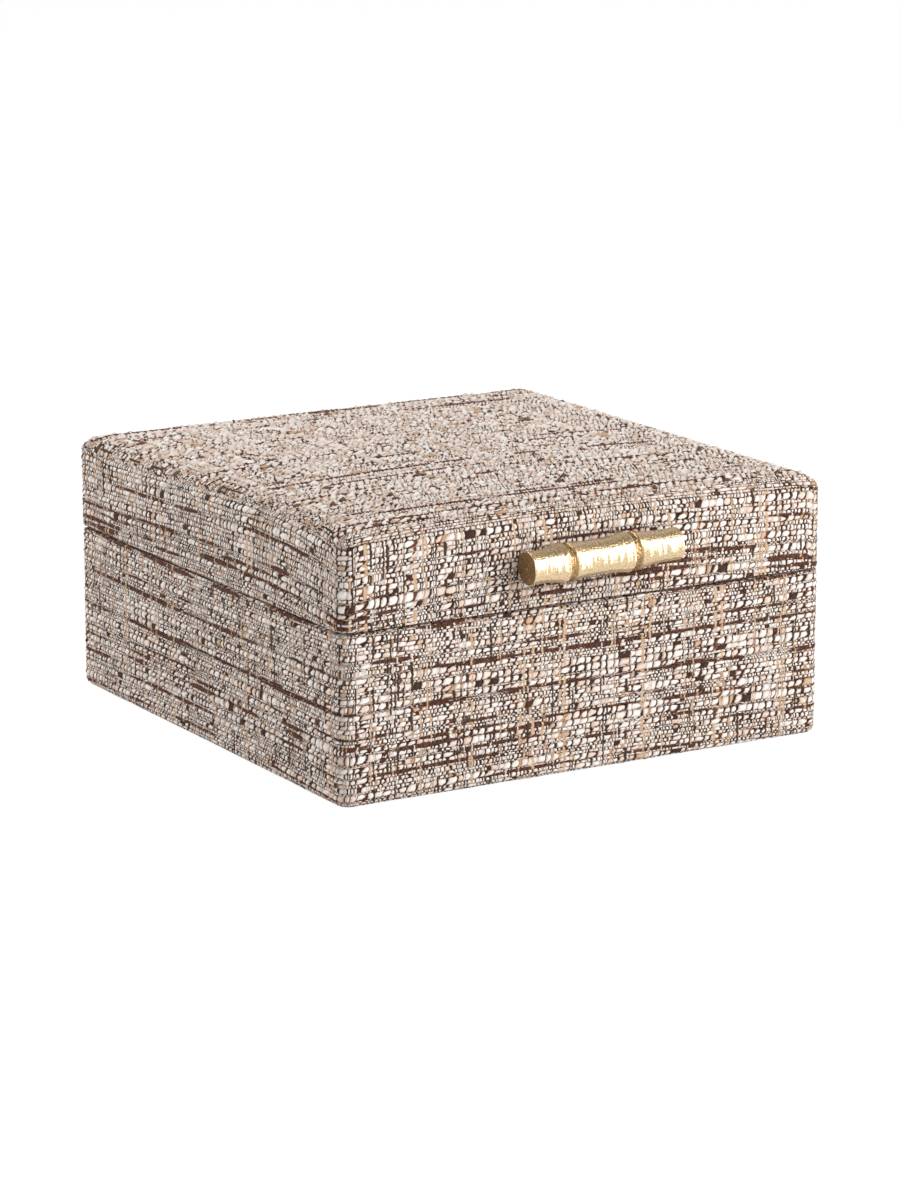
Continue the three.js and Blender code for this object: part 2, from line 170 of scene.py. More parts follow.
def between(grid: np.ndarray, u: np.ndarray, v: np.ndarray, ease: bool = True) -> np.ndarray:
    """Reads a grid between its knots. Past its last knot comes its first again.

    Args:
        grid: values by row and column.
        u: places across, in columns.
        v: places up, in rows, of the same shape.
        ease: whether the values level out at each knot.

    Returns:
        A value for each place.
    """
    i, j = np.floor(u).astype(int), np.floor(v).astype(int)
    fu, fv = u - i, v - j
    if ease:
        fu, fv = smoothstep(fu, 0, 1), smoothstep(fv, 0, 1)
    shape = fu.shape + (1,) * (grid.ndim - 2)
    fu, fv = fu.reshape(shape), fv.reshape(shape)
    rows, columns = grid.shape[:2]
    i0, i1, j0, j1 = i % columns, (i + 1) % columns, j % rows, (j + 1) % rows
    low = grid[j0, i0] * (1 - fu) + grid[j0, i1] * fu
    high = grid[j1, i0] * (1 - fu) + grid[j1, i1] * fu
    return low * (1 - fv) + high * fv


def value_noise(u: np.ndarray, v: np.ndarray, seed: int) -> np.ndarray:
    """Smooth random values from -1 to 1 over a plane, one knot to each unit."""
    return between(np.random.default_rng(seed).uniform(-1, 1, (NOISE_KNOTS, NOISE_KNOTS)), u, v)


def surface_normals(places: np.ndarray, closed: bool) -> np.ndarray:
    """Unit normals of a grid of points.

    Args:
        places: points by row and column.
        closed: whether the last column is the first again.

    Returns:
        A normal for each point.
    """
    if closed:
        ring = np.concatenate([places[:, -2:-1], places, places[:, 1:2]], axis=1)
        across = (ring[:, 2:] - ring[:, :-2]) / 2
    else:
        across = np.gradient(places, axis=1)
    normals = np.cross(across, np.gradient(places, axis=0))
    return normals / np.maximum(np.linalg.norm(normals, axis=2, keepdims=True), TINY)


def link_piece(
    mesh: bpy.types.Mesh, body: Side, material: bpy.types.Material
) -> bpy.types.Object:
    """Puts a mesh in the scene as a piece of the box.

    Args:
        mesh: the finished mesh, in metres in the shared frame.
        body: the body that it rides on.
        material: its finish.

    Returns:
        The piece's object.
    """
    mesh.materials.append(material)
    piece = bpy.data.objects.new(mesh.name, mesh)
    bpy.context.scene.collection.objects.link(piece)
    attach(piece, body.value)
    log.info("%s: %d faces, rides on %s", piece.name, len(mesh.polygons), body.value)
    return piece


def mesh_from(bm: bmesh.types.BMesh, name: str, smooth: bool = True) -> bpy.types.Mesh:
    """Writes a bmesh, in millimetres, to a mesh in metres and frees it.

    Args:
        bm: the finished bmesh.
        name: the mesh's name.
        smooth: whether its faces are shaded smooth.

    Returns:
        The mesh.
    """
    bmesh.ops.scale(bm, vec=(MM, MM, MM), verts=bm.verts)
    mesh = bpy.data.meshes.new(name)
    bm.to_mesh(mesh)
    bm.free()
    mesh.polygons.foreach_set("use_smooth", [smooth] * len(mesh.polygons))
    return mesh


def grid_mesh(name: str, columns: int, rows: int) -> tuple[bpy.types.Mesh, np.ndarray, np.ndarray]:
    """Makes a flat mesh of even squares.

    Args:
        name: the mesh's name.
        columns: number of squares across.
        rows: number of squares up.

    Returns:
        The mesh, then each point's column and row.
    """
    bm = bmesh.new()
    bmesh.ops.create_grid(bm, x_segments=columns, y_segments=rows, size=1)
    mesh = bpy.data.meshes.new(name)
    bm.to_mesh(mesh)
    bm.free()
    flat = np.empty(len(mesh.vertices) * 3)
    mesh.vertices.foreach_get("co", flat)
    share = (flat.reshape(-1, 3) + 1) / 2
    return mesh, np.rint(share[:, 0] * columns).astype(int), np.rint(share[:, 1] * rows).astype(int)


def block(bm: bmesh.types.BMesh, low: Vector, high: Vector) -> list[bmesh.types.BMEdge]:
    """Adds a block between two corners and returns its edges."""
    shape = Matrix.Translation((low + high) / 2) @ Matrix.Diagonal((*(high - low), 1))
    corners = bmesh.ops.create_cube(bm, size=1, matrix=shape)["verts"]
    return list(dict.fromkeys(edge for corner in corners for edge in corner.link_edges))


def soften(bm: bmesh.types.BMesh, edges: list[bmesh.types.BMEdge], radius: float, segments: int) -> None:
    """Rounds some of a bmesh's edges."""
    bmesh.ops.bevel(
        bm, geom=edges, offset=radius, affect="EDGES", segments=segments, profile=0.5, material=-1
    )


def turn(
    bm: bmesh.types.BMesh, line: list[Sizes], centre: Sizes, axis: Sizes, segments: int, ring: bool = False
) -> None:
    """Turns a line of points into a round solid and closes its seams and poles.

    Args:
        bm: the bmesh that it joins.
        line: the points in mm.
        centre: a point on the axis.
        axis: the axis's direction.
        segments: number of steps round.
        ring: whether the line comes back to its start.
    """
    points = [bm.verts.new(place) for place in line]
    edges = [bm.edges.new(pair) for pair in zip(points, points[1:] + points[:1] * ring)]
    bmesh.ops.spin(
        bm, geom=points + edges, cent=centre, axis=axis,
        angle=2 * math.pi, steps=segments, use_merge=True,
    )
    bmesh.ops.remove_doubles(bm, verts=bm.verts, dist=WELD)
    bmesh.ops.recalc_face_normals(bm, faces=bm.faces)


def extrude(
    bm: bmesh.types.BMesh, rim: list[bmesh.types.BMEdge]
) -> tuple[list[bmesh.types.BMEdge], list[bmesh.types.BMVert]]:
    """Draws a new row of faces out of a rim, and returns its new edges and points."""
    made = bmesh.ops.extrude_edge_only(bm, edges=rim)["geom"]
    edges = [part for part in made if isinstance(part, bmesh.types.BMEdge)]
    return edges, [part for part in made if isinstance(part, bmesh.types.BMVert)]


@dataclass(frozen=True)
class Tweed:
    """Slub tweed, a plain weave of thick and thin cotton wefts over fine warps.

    The eye sees near-white pebbles parted by dark hairlines, tan warps in broken columns, long
    dark brown slubs along the rows and dark gaps with stray pale fibres between the yarns.
    Scales are in knots to a yarn. A warp has the roll that it starts at, its colour, half its
    width and how far it pinches the weft.
    """

    name: str = "slub_tweed_cotton"
    # The gaps between the yarns: the ground's tan, darkened by painted shade of the holes to near black in
    # places
    gap: tuple[str, str, str] = ("#38261E", "#86604C", "#D6B69C")
    gap_places: Sizes = (0.42, 0.58, 0.72)
    gap_scale: float = 0.9
    # Painted shade on each pebble: its colour is multiplied by this warm tint at the pebble's edge, passing
    # a near white part way up to white at its top
    edge: str = "#D0B9A8"
    shade_reach: float = 0.46
    crest: str = "#F5F0EC"
    speck: str = "#EADCCF"
    speck_scale: float = 2.1
    speck_least: float = 0.6
    speck_edge: Pair = (0.42, 0.24)
    slant: float = 0.55
    slant_scale: float = 0.35
    fine_slant: float = 0.2
    wander: float = 0.65
    wander_scale: float = 1.3
    wander_up: float = 0.8
    erosion: float = 0.37
    patch: float = 0.6
    patch_scale: float = 0.09
    shown_edge: Pair = (0.02, 0.28)
    warp_edge: Pair = (0.06, -0.04)
    crossing_share: float = 0.3
    thin_row_width: float = 1.6
    row_round: float = 1.8
    slub: tuple[str, str] = ("#44281F", "#7C4D3C")
    slub_edge: Pair = (0.4, 0.6)
    slub_pinch: float = 0.35
    fibre_turn: float = 0.6
    fibre_scale: Sizes = (2.2, 7.0, 1.0)
    fibre_rise: float = 0.2
    warp_rise: float = 0.62
    roughness: float = 0.92
    specular: float = 0.12
    sheen: float = 0.04
    bump: float = 0.8
    bump_mm: float = 0.65
    float_columns: Pair = (0.58, 0.77)
    float_share: float = 0.32
    float_rows: float = 2.5
    float_edge: Pair = (0.3, 0.2)
    float_shift: float = 50.0
    dark_floats: tuple[str, str] = ("#33271F", "#5C4638")
    tan_floats: tuple[str, str] = ("#B48E6C", "#E4C8AA")
    pebbles: tuple[tuple[float, str], ...] = (
        (0.0, "#4A342B"),
        (0.02, "#D6B79C"),
        (0.035, "#EAD8CB"),
        (0.18, "#F2E7E0"),
        (0.4, "#F7F0EB"),
        (0.7, "#F9F6F4"),
    )
    warps: tuple[tuple[float, str, float, float], ...] = (
        (0.0, "#43332B", 0.32, 1.0),
        (0.13, "#33271F", 0.12, 1.0),
        (0.46, "#F3EAE4", 0.0, 0.85),
        (0.52, "#33271F", 0.14, 1.0),
        (0.64, "#EFE4DC", 0.2, 1.0),
        (0.72, "#CBA480", 0.24, 1.0),
        (0.8, "#33271F", 0.13, 1.0),
        (0.88, "#6E4838", 0.2, 1.0),
    )

    def material(self) -> bpy.types.Material:
        """Builds the cloth's material on the weave map, whose units are warps and wefts."""
        made, add = new_material(self.name)
        uv = add("UVMap", uv_map=WEAVE_MAP)
        stray = add("TexNoise", Vector=uv, Scale=self.wander_scale, Detail=2.0, out="Color")
        stray = add("VectorMath SUBTRACT", stray, (0.5, 0.5, 0.5))
        reach = (self.wander, self.wander * self.wander_up, 0)
        place = add("VectorMath MULTIPLY_ADD", stray, reach, uv)
        across = add("SeparateXYZ", place, out="X")
        up = across.node.outputs["Y"]
        # Row number, the place within the row, and the lean that the yarn's twist gives each pebble
        row = add("Math FLOOR", up)
        part = add("Math FRACT", up)
        twist = add("TexNoise", Vector=uv, Scale=self.slant_scale, Detail=0.0)
        twist = add("Math MULTIPLY", twist, -2 * self.slant)
        # Bulky yarn makes wide leaning pebbles, and fine yarn small upright ones
        bulk = add("Attribute", out="Fac", attribute_name=BULK_ATTRIBUTE)
        upright = add("MapRange", bulk, 0, 1, self.fine_slant, 1)
        twist = add("Math MULTIPLY", twist, upright)
        lean = add("Math SUBTRACT", part, 0.5)
        column = add("Math MULTIPLY_ADD", lean, twist, across)
        # A warp comes over every second weft, and the next row shows the warps between
        fine = add("MapRange", bulk, 0, 1, 2, 1)
        pair = add("Math MULTIPLY_ADD", column, fine, row)
        pair = add("Math MULTIPLY", pair, 0.5)
        nearest = add("Math ROUND", pair)
        off = add("Math SUBTRACT", pair, nearest)
        off = add("Math ABSOLUTE", off)
        off = add("Math MULTIPLY", off, 2)
        warp = add("Math MULTIPLY", nearest, 2)
        warp = add("Math SUBTRACT", warp, row)
        warp = add("Math DIVIDE", warp, fine)
        crossing = add("CombineXYZ", warp, row)
        column_roll = add("TexWhiteNoise", W=warp, noise_dimensions="1D")
        crossing_roll = add("TexWhiteNoise", Vector=crossing, noise_dimensions="2D")
        kind = add("Mix", self.crossing_share, A_Float=column_roll, B_Float=crossing_roll)
        colours = [(start, colour) for start, colour, _, _ in self.warps]
        warp_colour, width = (add("ValToRGB", kind, stops=colours) for _ in range(2))
        for element, (_, _, half, neck) in zip(width.node.color_ramp.elements, self.warps):
            element.color = (half, neck, 0, 1)
        sizes = add("SeparateColor", width)
        # The warps spread out on the fine wefts
        grown = add("MapRange", bulk, 0, 1, self.thin_row_width, 1)
        half = add("Math MULTIPLY", sizes, grown)
        beyond = add("Math SUBTRACT", off, half)
        over = add("MapRange", beyond, *self.warp_edge, **EASED)
        # Pebble of the weft between two warps: round across and round up
        far = add("Math SUBTRACT", 1, off)
        room = add("Math SUBTRACT", 1, half)
        side = add("Math DIVIDE", far, room, use_clamp=True)
        side = add("Math POWER", side, 2)
        # Some warps leave the weft whole, and a dark slub runs on under most of them
        # The slub attribute also carries the seam's painted shade, so the rims' yarns there take the slub's
        # dark colour
        slub = add("Attribute", out="Fac", attribute_name=SLUB_AND_SEAM_SHADE_ATTRIBUTE)
        slub = add("MapRange", slub, *self.slub_edge, **EASED)
        whole = add("MapRange", slub, 0, 1, 1, self.slub_pinch)
        side = add("Math MULTIPLY", side, sizes.node.outputs["Green"])
        side = add("Math MULTIPLY", side, whole)
        rise = add("Math MULTIPLY_ADD", part, 2, -1)
        rise = add("Math ABSOLUTE", rise)
        rise = add("Math POWER", rise, self.row_round)
        side_round = add("Math SUBTRACT", 1, side)
        rise_round = add("Math SUBTRACT", 1, rise)
        pebble = add("Math MULTIPLY", side_round, rise_round)
        # The weave is closer in some patches than in others, and some pebbles are plumper
        number = add("Math FLOOR", pair)
        number = add("CombineXYZ", number, row)
        pebble_roll = add("TexWhiteNoise", Vector=number, noise_dimensions="2D")
        plump = add("SeparateColor", pebble_roll.node.outputs["Color"], out="Blue")
        plump = add("MapRange", plump, 0, 1, -self.erosion, self.erosion * 0.6)
        plump = add("Math ADD", plump, pebble)
        patch = add("TexNoise", Vector=uv, Scale=self.patch_scale, Detail=1.0)
        patch = add("Math SUBTRACT", patch, 0.5)
        full = add("Math MULTIPLY_ADD", patch, self.patch, plump)
        shown = add("MapRange", full, *self.shown_edge, **EASED)
        # Fibres run along the yarn's twist
        thread = add("CombineXYZ", column, up)
        thread = add("Mapping", thread, Rotation=(0, 0, self.fibre_turn), Scale=self.fibre_scale)
        fibre = add("TexNoise", Vector=thread, Scale=1.0, Detail=3.0)
        # Cream differs from pebble to pebble, and a few pebbles are tan or dark brown
        cream = add("ValToRGB", pebble_roll, stops=self.pebbles)
        for stepped in (warp_colour, width, cream):
            stepped.node.color_ramp.interpolation = "CONSTANT"
        slub_colour = add("ValToRGB", fibre, stops=list(zip((0.3, 0.7), self.slub)))
        weft = add("Mix", slub, A_Color=cream, B_Color=slub_colour, **COLOURS)
        # Stray pale fibres stand in the gaps
        cells = add("TexVoronoi", Vector=place, Scale=self.speck_scale)
        chosen = add("SeparateColor", cells.node.outputs["Color"])
        chosen = add("Math GREATER_THAN", chosen, self.speck_least)
        speck = add("MapRange", cells, *self.speck_edge)
        speck = add("Math MULTIPLY", speck, chosen)
        # Painted shade in the gaps between yarns, deeper in some patches than in others
        depth = add("TexNoise", Vector=uv, Scale=self.gap_scale, Detail=1.0)
        gap = add("ValToRGB", depth, stops=list(zip(self.gap_places, self.gap)))
        gap = add("Mix", speck, A_Color=gap, B_Color=linear(self.speck), **COLOURS)
        cloth = add("Mix", shown, A_Color=gap, B_Color=weft, **COLOURS)
        cloth = add("Mix", over, A_Color=cloth, B_Color=warp_colour, **COLOURS)
        # Dark and tan warps float over a few rows at a time, in upright dashes
        lane = add("Math ROUND", across)
        lane_off = add("Math SUBTRACT", across, lane)
        lane_off = add("Math ABSOLUTE", lane_off)
        strip = add("MapRange", lane_off, *self.float_edge, **EASED)
        lane_roll = add("TexWhiteNoise", W=lane, noise_dimensions="1D")
        loose, tan = (add("Math GREATER_THAN", lane_roll, least) for least in self.float_columns)
        run = add("Math MULTIPLY", lane_roll, self.float_shift)
        run = add("Math MULTIPLY_ADD", row, 1 / self.float_rows, run)
        run = add("Math FLOOR", run)
        run = add("CombineXYZ", lane, run)
        run_roll = add("TexWhiteNoise", Vector=run, noise_dimensions="2D")
        floats = add("Math LESS_THAN", run_roll, self.float_share)
        floats = add("Math MULTIPLY", floats, loose)
        floats = add("Math MULTIPLY", floats, strip)
        dark_colour = add("ValToRGB", fibre, stops=list(zip((0.3, 0.7), self.dark_floats)))
        tan_colour = add("ValToRGB", fibre, stops=list(zip((0.3, 0.6), self.tan_floats)))
        float_colour = add("Mix", tan, A_Color=dark_colour, B_Color=tan_colour, **COLOURS)
        cloth = add("Mix", floats, A_Color=cloth, B_Color=float_colour, **COLOURS)
        over = add("Math MAXIMUM", over, floats)
        # The yarns' height with their fibres, and painted shade: the colour darkens and warms towards each
        # pebble's edge
        warp_height = add("Math MULTIPLY", over, self.warp_rise)
        height = add("Math MAXIMUM", pebble, warp_height)
        fuzz = add("Math MULTIPLY_ADD", fibre, self.fibre_rise, height)
        shade = add("Math MULTIPLY", fuzz, 0.85)
        falloff = [(0.05, self.edge), (self.shade_reach, self.crest), (0.95, "#FFFFFF")]
        shade = add("ValToRGB", shade, stops=falloff)
        cloth = add("Mix", 1.0, A_Color=cloth, B_Color=shade, blend_type="MULTIPLY", **COLOURS)
        bump = add("Bump", Height=fuzz, Strength=self.bump, Distance=self.bump_mm * MM)
        shader = add(
            "BsdfPrincipled",
            cloth,
            Roughness=self.roughness,
            Specular_IOR_Level=self.specular,
            Sheen_Weight=self.sheen,
            Sheen_Roughness=0.6,
            Normal=bump,
        )
        add("OutputMaterial", shader)
        return made


@dataclass(frozen=True)
class Fibrous:
    """What the finishes of fine random fibres share: soft clouds of nap over single fibres."""

    name: str
    dark: str
    pale: str
    fibre_mm: float
    detail: float
    tones: Pair
    roughness: float
    specular: float
    bump: float
    bump_mm: float
    matting: float = 0.0
    fibre_share: float = 1.0
    nap_mm: float = 3.5
    sheen: float = 0.0
    sheen_tint: str = "#C9B09C"

    def material(self) -> bpy.types.Material:
        """Builds the material on object coordinates."""
        made, add = new_material(self.name)
        place = add("TexCoord", out="Object")
        nap = add("TexNoise", Vector=place, Scale=1 / (self.nap_mm * MM), Detail=3.0)
        scale = 1 / (self.fibre_mm * MM)
        fibre = add("TexNoise", Vector=place, Scale=scale, Detail=self.detail, Distortion=self.matting)
        tone = add("Mix", self.fibre_share, A_Float=nap, B_Float=fibre)
        colour = add("ValToRGB", tone, stops=list(zip(self.tones, (self.dark, self.pale))))
        bump = add("Bump", Height=fibre, Strength=self.bump, Distance=self.bump_mm * MM)
        shader = add(
            "BsdfPrincipled",
            colour,
            Roughness=self.roughness,
            Specular_IOR_Level=self.specular,
            Sheen_Weight=self.sheen,
            Sheen_Roughness=0.35,
            Sheen_Tint=linear(self.sheen_tint),
            Normal=bump,
        )
        add("OutputMaterial", shader)
        return made


@dataclass(frozen=True)
class Velvet(Fibrous):
    """Cotton velvet on card, mocha brown. The eye sees a soft nap that pales towards its edges."""

    name: str = "cotton_velvet_mocha"
    dark: str = "#5A4436"
    pale: str = "#7A6150"
    fibre_mm: float = 0.35
    detail: float = 2.0
    tones: Pair = (0.32, 0.68)
    roughness: float = 0.85
    specular: float = 0.15
    bump: float = 0.5
    bump_mm: float = 0.15
    fibre_share: float = 0.45
    sheen: float = 0.6


@dataclass(frozen=True)
class Felt(Fibrous):
    """Pressed wool felt, dark brown. The eye sees matted short fibres with no weave."""

    name: str = "pressed_wool_felt"
    dark: str = "#33291F"
    pale: str = "#54463A"
    fibre_mm: float = 0.9
    detail: float = 5.0
    tones: Pair = (0.3, 0.7)
    roughness: float = 0.95
    specular: float = 0.1
    bump: float = 0.7
    bump_mm: float = 0.25
    matting: float = 1.2


@dataclass(frozen=True)
class Fibreboard(Fibrous):
    """Raw fibreboard. The eye sees a tan board of fine pressed wood fibres."""

    name: str = "raw_fibreboard"
    dark: str = "#9C7B52"
    pale: str = "#C2A276"
    fibre_mm: float = 1.2
    detail: float = 4.0
    tones: Pair = (0.35, 0.65)
    roughness: float = 0.85
    specular: float = 0.3
    bump: float = 0.3
    bump_mm: float = 0.1


@dataclass(frozen=True)
class CastBrass:
    """Sand-cast brass, filed along its stems and lacquered satin.

    The eye sees a champagne gold: short file marks round the stems, raw sandy grain in the notches.
    """

    bright: str = "#E2CBA5"
    deep: str = "#C3A277"
    # Dark gold of the notches' patina, also painted on the upward faces as shade
    patina_and_shade: str = "#8C6C44"
    grain_mm: float = 0.6
    file_mm: float = 0.5
    file_stretch: Sizes = (1.0, 0.16, 0.16)
    smooth: Pair = (0.12, 0.26)
    raw: float = 0.22
    skin_edge: Pair = (0.46, 0.7)
    # How far the upward faces are painted towards that dark gold, as shade
    skin_dull_and_shade: float = 0.35
    facet: float = 0.55
    facet_mm: float = 0.9
    facet_turn: float = 0.1
    facet_stretch: Sizes = (1.0, 0.05, 0.09)
    under_edge: Pair = (-0.5, -0.25)
    bump_mm: float = 0.24

    def material(self) -> bpy.types.Material:
        """Builds the metal on object coordinates, with its marks running round the X axis."""
        made, add = new_material("sand_cast_brass_satin")
        place = add("TexCoord", out="Object")
        raw = add("Attribute", out="Fac", attribute_name=RAW_ATTRIBUTE)
        grain = add("TexNoise", Vector=place, Scale=1 / (self.grain_mm * MM), Detail=3.0)
        marks = add("Mapping", place, Scale=self.file_stretch)
        marks = add("TexNoise", Vector=marks, Scale=1 / (self.file_mm * MM), Detail=4.0)
        # The casting's skin is left grainy on top and in the notches. Its colour is dulled there too:
        # painted shade on the upward faces, patina in the notches.
        facing = add("SeparateXYZ", place.node.outputs["Normal"], out="Z")
        skin = add("MapRange", facing, *self.skin_edge)
        skin = add("Math MAXIMUM", skin, raw)
        colour = add("ValToRGB", grain, stops=[(0.3, self.deep), (0.52, self.bright)])
        dull_and_shade = add("ValToRGB", grain, stops=[(0.35, self.patina_and_shade), (0.65, self.deep)])
        dulled_and_shaded = add("Math MULTIPLY", skin, self.skin_dull_and_shade)
        dulled_and_shaded = add("Math MAXIMUM", dulled_and_shaded, raw)
        colour = add("Mix", dulled_and_shaded, A_Color=colour, B_Color=dull_and_shade, **COLOURS)
        filed = add("MapRange", marks, 0.3, 0.7, *self.smooth)
        rough = add("Mix", raw, A_Float=filed, B_Float=self.raw)
        share = add("MapRange", skin, 0, 1, 0.8, 0.1)
        relief = add("Mix", share, A_Float=grain, B_Float=marks)
        depth = add("MapRange", skin, 0, 1, 0.35, 1)
        # Each stroke of the file leaves a narrow facet, tipped a little up or down
        stroke = add("Mapping", place, Rotation=(0, self.facet_turn, 0), Scale=self.facet_stretch)
        stroke = add("TexNoise", Vector=stroke, Scale=1 / (self.facet_mm * MM), Detail=3.0)
        stroke = add("MapRange", stroke, 0, 1, -self.facet, self.facet)
        calm = add("MapRange", skin, 0, 1, 1, 0)
        stroke = add("Math MULTIPLY", stroke, calm)
        under = add("MapRange", facing, *self.under_edge)
        stroke = add("Math MULTIPLY", stroke, under)
        axis = add("VectorTransform", (1, 0, 0), convert_from="OBJECT", convert_to="WORLD")
        normal = add("NewGeometry", out="Normal")
        tip = add("VectorMath CROSS_PRODUCT", axis, normal)
        tip = add("VectorMath SCALE", tip, Scale=stroke)
        normal = add("VectorMath ADD", tip, normal)
        normal = add("VectorMath NORMALIZE", normal)
        bump = add("Bump", Height=relief, Strength=depth, Distance=self.bump_mm * MM, Normal=normal)
        shader = add("BsdfPrincipled", colour, Metallic=1.0, Roughness=rough, Normal=bump)
        add("OutputMaterial", shader)
        return made


@dataclass(frozen=True)
class RolledMetal:
    """Rolled or drawn metal. The eye sees fine drawing lines and slightly dulled high spots."""

    name: str
    bright: str
    deep: str
    roughness: Pair
    line_mm: float = 0.25
    line_stretch: Sizes = (0.06, 1.0, 1.0)
    cloud_mm: float = 4.0
    bump_mm: float = 0.05

    def material(self) -> bpy.types.Material:
        """Builds the metal on object coordinates, with its lines along the X axis."""
        made, add = new_material(self.name)
        place = add("TexCoord", out="Object")
        lines = add("Mapping", place, Scale=self.line_stretch)
        lines = add("TexNoise", Vector=lines, Scale=1 / (self.line_mm * MM), Detail=3.0)
        cloud = add("TexNoise", Vector=place, Scale=1 / (self.cloud_mm * MM), Detail=2.0)
        colour = add("ValToRGB", cloud, stops=[(0.35, self.deep), (0.65, self.bright)])
        rough = add("MapRange", lines, 0.3, 0.7, *self.roughness)
        bump = add("Bump", Height=lines, Strength=0.15, Distance=self.bump_mm * MM)
        shader = add("BsdfPrincipled", colour, Metallic=1.0, Roughness=rough, Normal=bump)
        add("OutputMaterial", shader)
        return made


@dataclass(frozen=True)
class Weave:
    """How the tweed lies: yarn spacing, thick and thin rows and the height of the pebbles, in mm."""

    warp_pitch: float = 1.55
    weft_pitch: float = 1.25
    relief: float = 0.26
    bulky: float = 1.5
    fine: float = 1.12
    bulky_share: float = 0.33
    bulky_least: float = 1.3
    bulky_edge: float = 0.15
    bulky_rise: float = 1.35
    row_jitter: float = 0.8
    row_spread: float = 0.16
    row_least: float = 0.12
    long_swell: float = 0.62
    fine_swell: float = 0.3
    long_mm: float = 22.0
    short_swell: float = 0.26
    short_mm: float = 6.0
    warp_spread: float = 0.36
    warp_range: Pair = (0.5, 2.3)
    warp_wander: float = 0.22
    wander_columns: float = 0.83
    wander_rows: float = 5.0
    pebble_spread: float = 0.25
    pebble_proud: float = 2.6
    crest: float = 0.9
    trough: float = 0.3
    flat: float = 0.2
    thick_rise: float = 0.27
    thick_most: float = 1.6
    dark_share: float = 0.57
    dark_thin: float = 0.3
    dark_swell: float = 0.85
    dark_mm: float = 17.0
    dark_rise: float = 0.4
    dark_start: float = 0.1
    dark_gain: float = 1.25
    dark_range: Pair = (0.25, 1.6)
    dark_ripple: Pair = (0.85, 0.4)
    dark_shade: Pair = (0.3, 3.0)
    calm_rows: int = 3
    steps: int = 1

    def columns(self, length: float) -> int:
        """Number of warps along a length, made even so that the weave closes on itself."""
        return 2 * round(length / self.warp_pitch / 2)

    def wefts(self, length: float) -> int:
        """Number of wefts along a length."""
        return round(length / self.weft_pitch)

    def along(self, rng: np.random.Generator, wefts: int, columns: int, spacing: float) -> np.ndarray:
        """Random values that change slowly along each row and close on themselves.

        Args:
            rng: the seeded source.
            wefts: number of rows.
            columns: number of warps.
            spacing: distance between the values' knots, in mm.

        Returns:
            Values from -1 to 1 by row and column of points.
        """
        count = max(4, round(columns * self.warp_pitch / spacing))
        knots = rng.uniform(-1, 1, (wefts, count))
        at = np.arange(columns * self.steps + 1) * count / (columns * self.steps)
        low = np.floor(at).astype(int)
        t = smoothstep(at - low, 0, 1)
        return knots[:, low % count] * (1 - t) + knots[:, (low + 1) % count] * t

    def lattice(self, columns: int, wefts: int, seed: int) -> tuple[np.ndarray, ...]:
        """Lays out the yarns of a piece of cloth.

        Args:
            columns: number of warps.
            wefts: number of wefts, each with a line of points on its ridge and one at each edge.
            seed: which cloth.

        Returns:
            Shares of the way across, shares of the way up, heights in pebbles and how far each
            point is on a dark slub, all by row of points and column, then which crossings are of
            bulky yarn, by weft and column.
        """
        rng = np.random.default_rng(seed)
        number = np.arange(wefts)
        turns = np.floor((number + rng.uniform(-self.row_jitter, self.row_jitter, wefts)) * self.bulky_share)
        is_bulky = np.diff(turns, prepend=turns[0]) > 0
        base = np.where(is_bulky, self.bulky, self.fine) * np.exp(rng.normal(0, self.row_spread, wefts))
        reach = np.where(is_bulky, self.long_swell, self.fine_swell)[:, None]
        swell = reach * self.along(rng, wefts, columns, self.long_mm)
        swell = swell + self.short_swell * self.along(rng, wefts, columns, self.short_mm)
        swell = swell * base[:, None]
        is_dark = (rng.random(wefts) < self.dark_share) & ~is_bulky
        is_dark &= (number >= self.calm_rows) & (number < wefts - self.calm_rows)
        full = self.dark_start + self.dark_gain * self.along(rng, wefts, columns, self.dark_mm)
        full = np.clip(full, 0, 1) * rng.uniform(*self.dark_range, (wefts, 1))
        even, ripple = self.dark_ripple
        full = full * (even + ripple * self.along(rng, wefts, columns, self.short_mm / 2))
        pale, gain = self.dark_shade
        dark = np.where(is_dark[:, None], np.clip(pale + gain * full, 0, 1), 0.0)
        base = np.where(is_dark, self.dark_thin, base)
        swell = np.where(is_dark[:, None], self.dark_swell * full, swell)
        # A yarn that swells pushes into its neighbours on both sides, so that the rows stay level
        points = columns * self.steps + 1
        level = np.concatenate([[0], np.cumsum(base)])[:, None]
        none = np.zeros((1, points))
        edges = level + (np.concatenate([none, swell]) - np.concatenate([swell, none])) / 2
        edges[0], edges[-1] = level[0], level[-1]
        edges = np.maximum.accumulate(edges + self.row_least * np.arange(wefts + 1)[:, None], axis=0)
        edges = edges / edges[-1]
        thick = np.diff(edges, axis=0) * wefts
        row, crossing = np.meshgrid(number, np.arange(columns), indexing="ij")
        first = np.clip(2 * ((crossing + row) // 2) - row, 0, columns) * self.steps
        bulk = is_bulky[:, None] & (np.take_along_axis(thick, first, axis=1) > self.bulky_least)
        rows = 2 * wefts + 1
        up = np.empty((rows, points))
        up[0::2], up[1::2] = edges, (edges[1:] + edges[:-1]) / 2
        widths = np.clip(np.exp(rng.normal(0, self.warp_spread, columns)), *self.warp_range)
        warps = np.concatenate([[0], np.cumsum(widths)]) / widths.sum()
        place = np.arange(points) / self.steps
        column, line = np.meshgrid(place, np.arange(rows + 0.0))
        wander = value_noise(column * self.wander_columns, line / self.wander_rows, seed)
        wander = wander * self.warp_wander / columns
        wander[:, 0] = wander[:, -1] = 0
        across = np.interp(place, np.arange(columns + 1), warps)[None] + wander
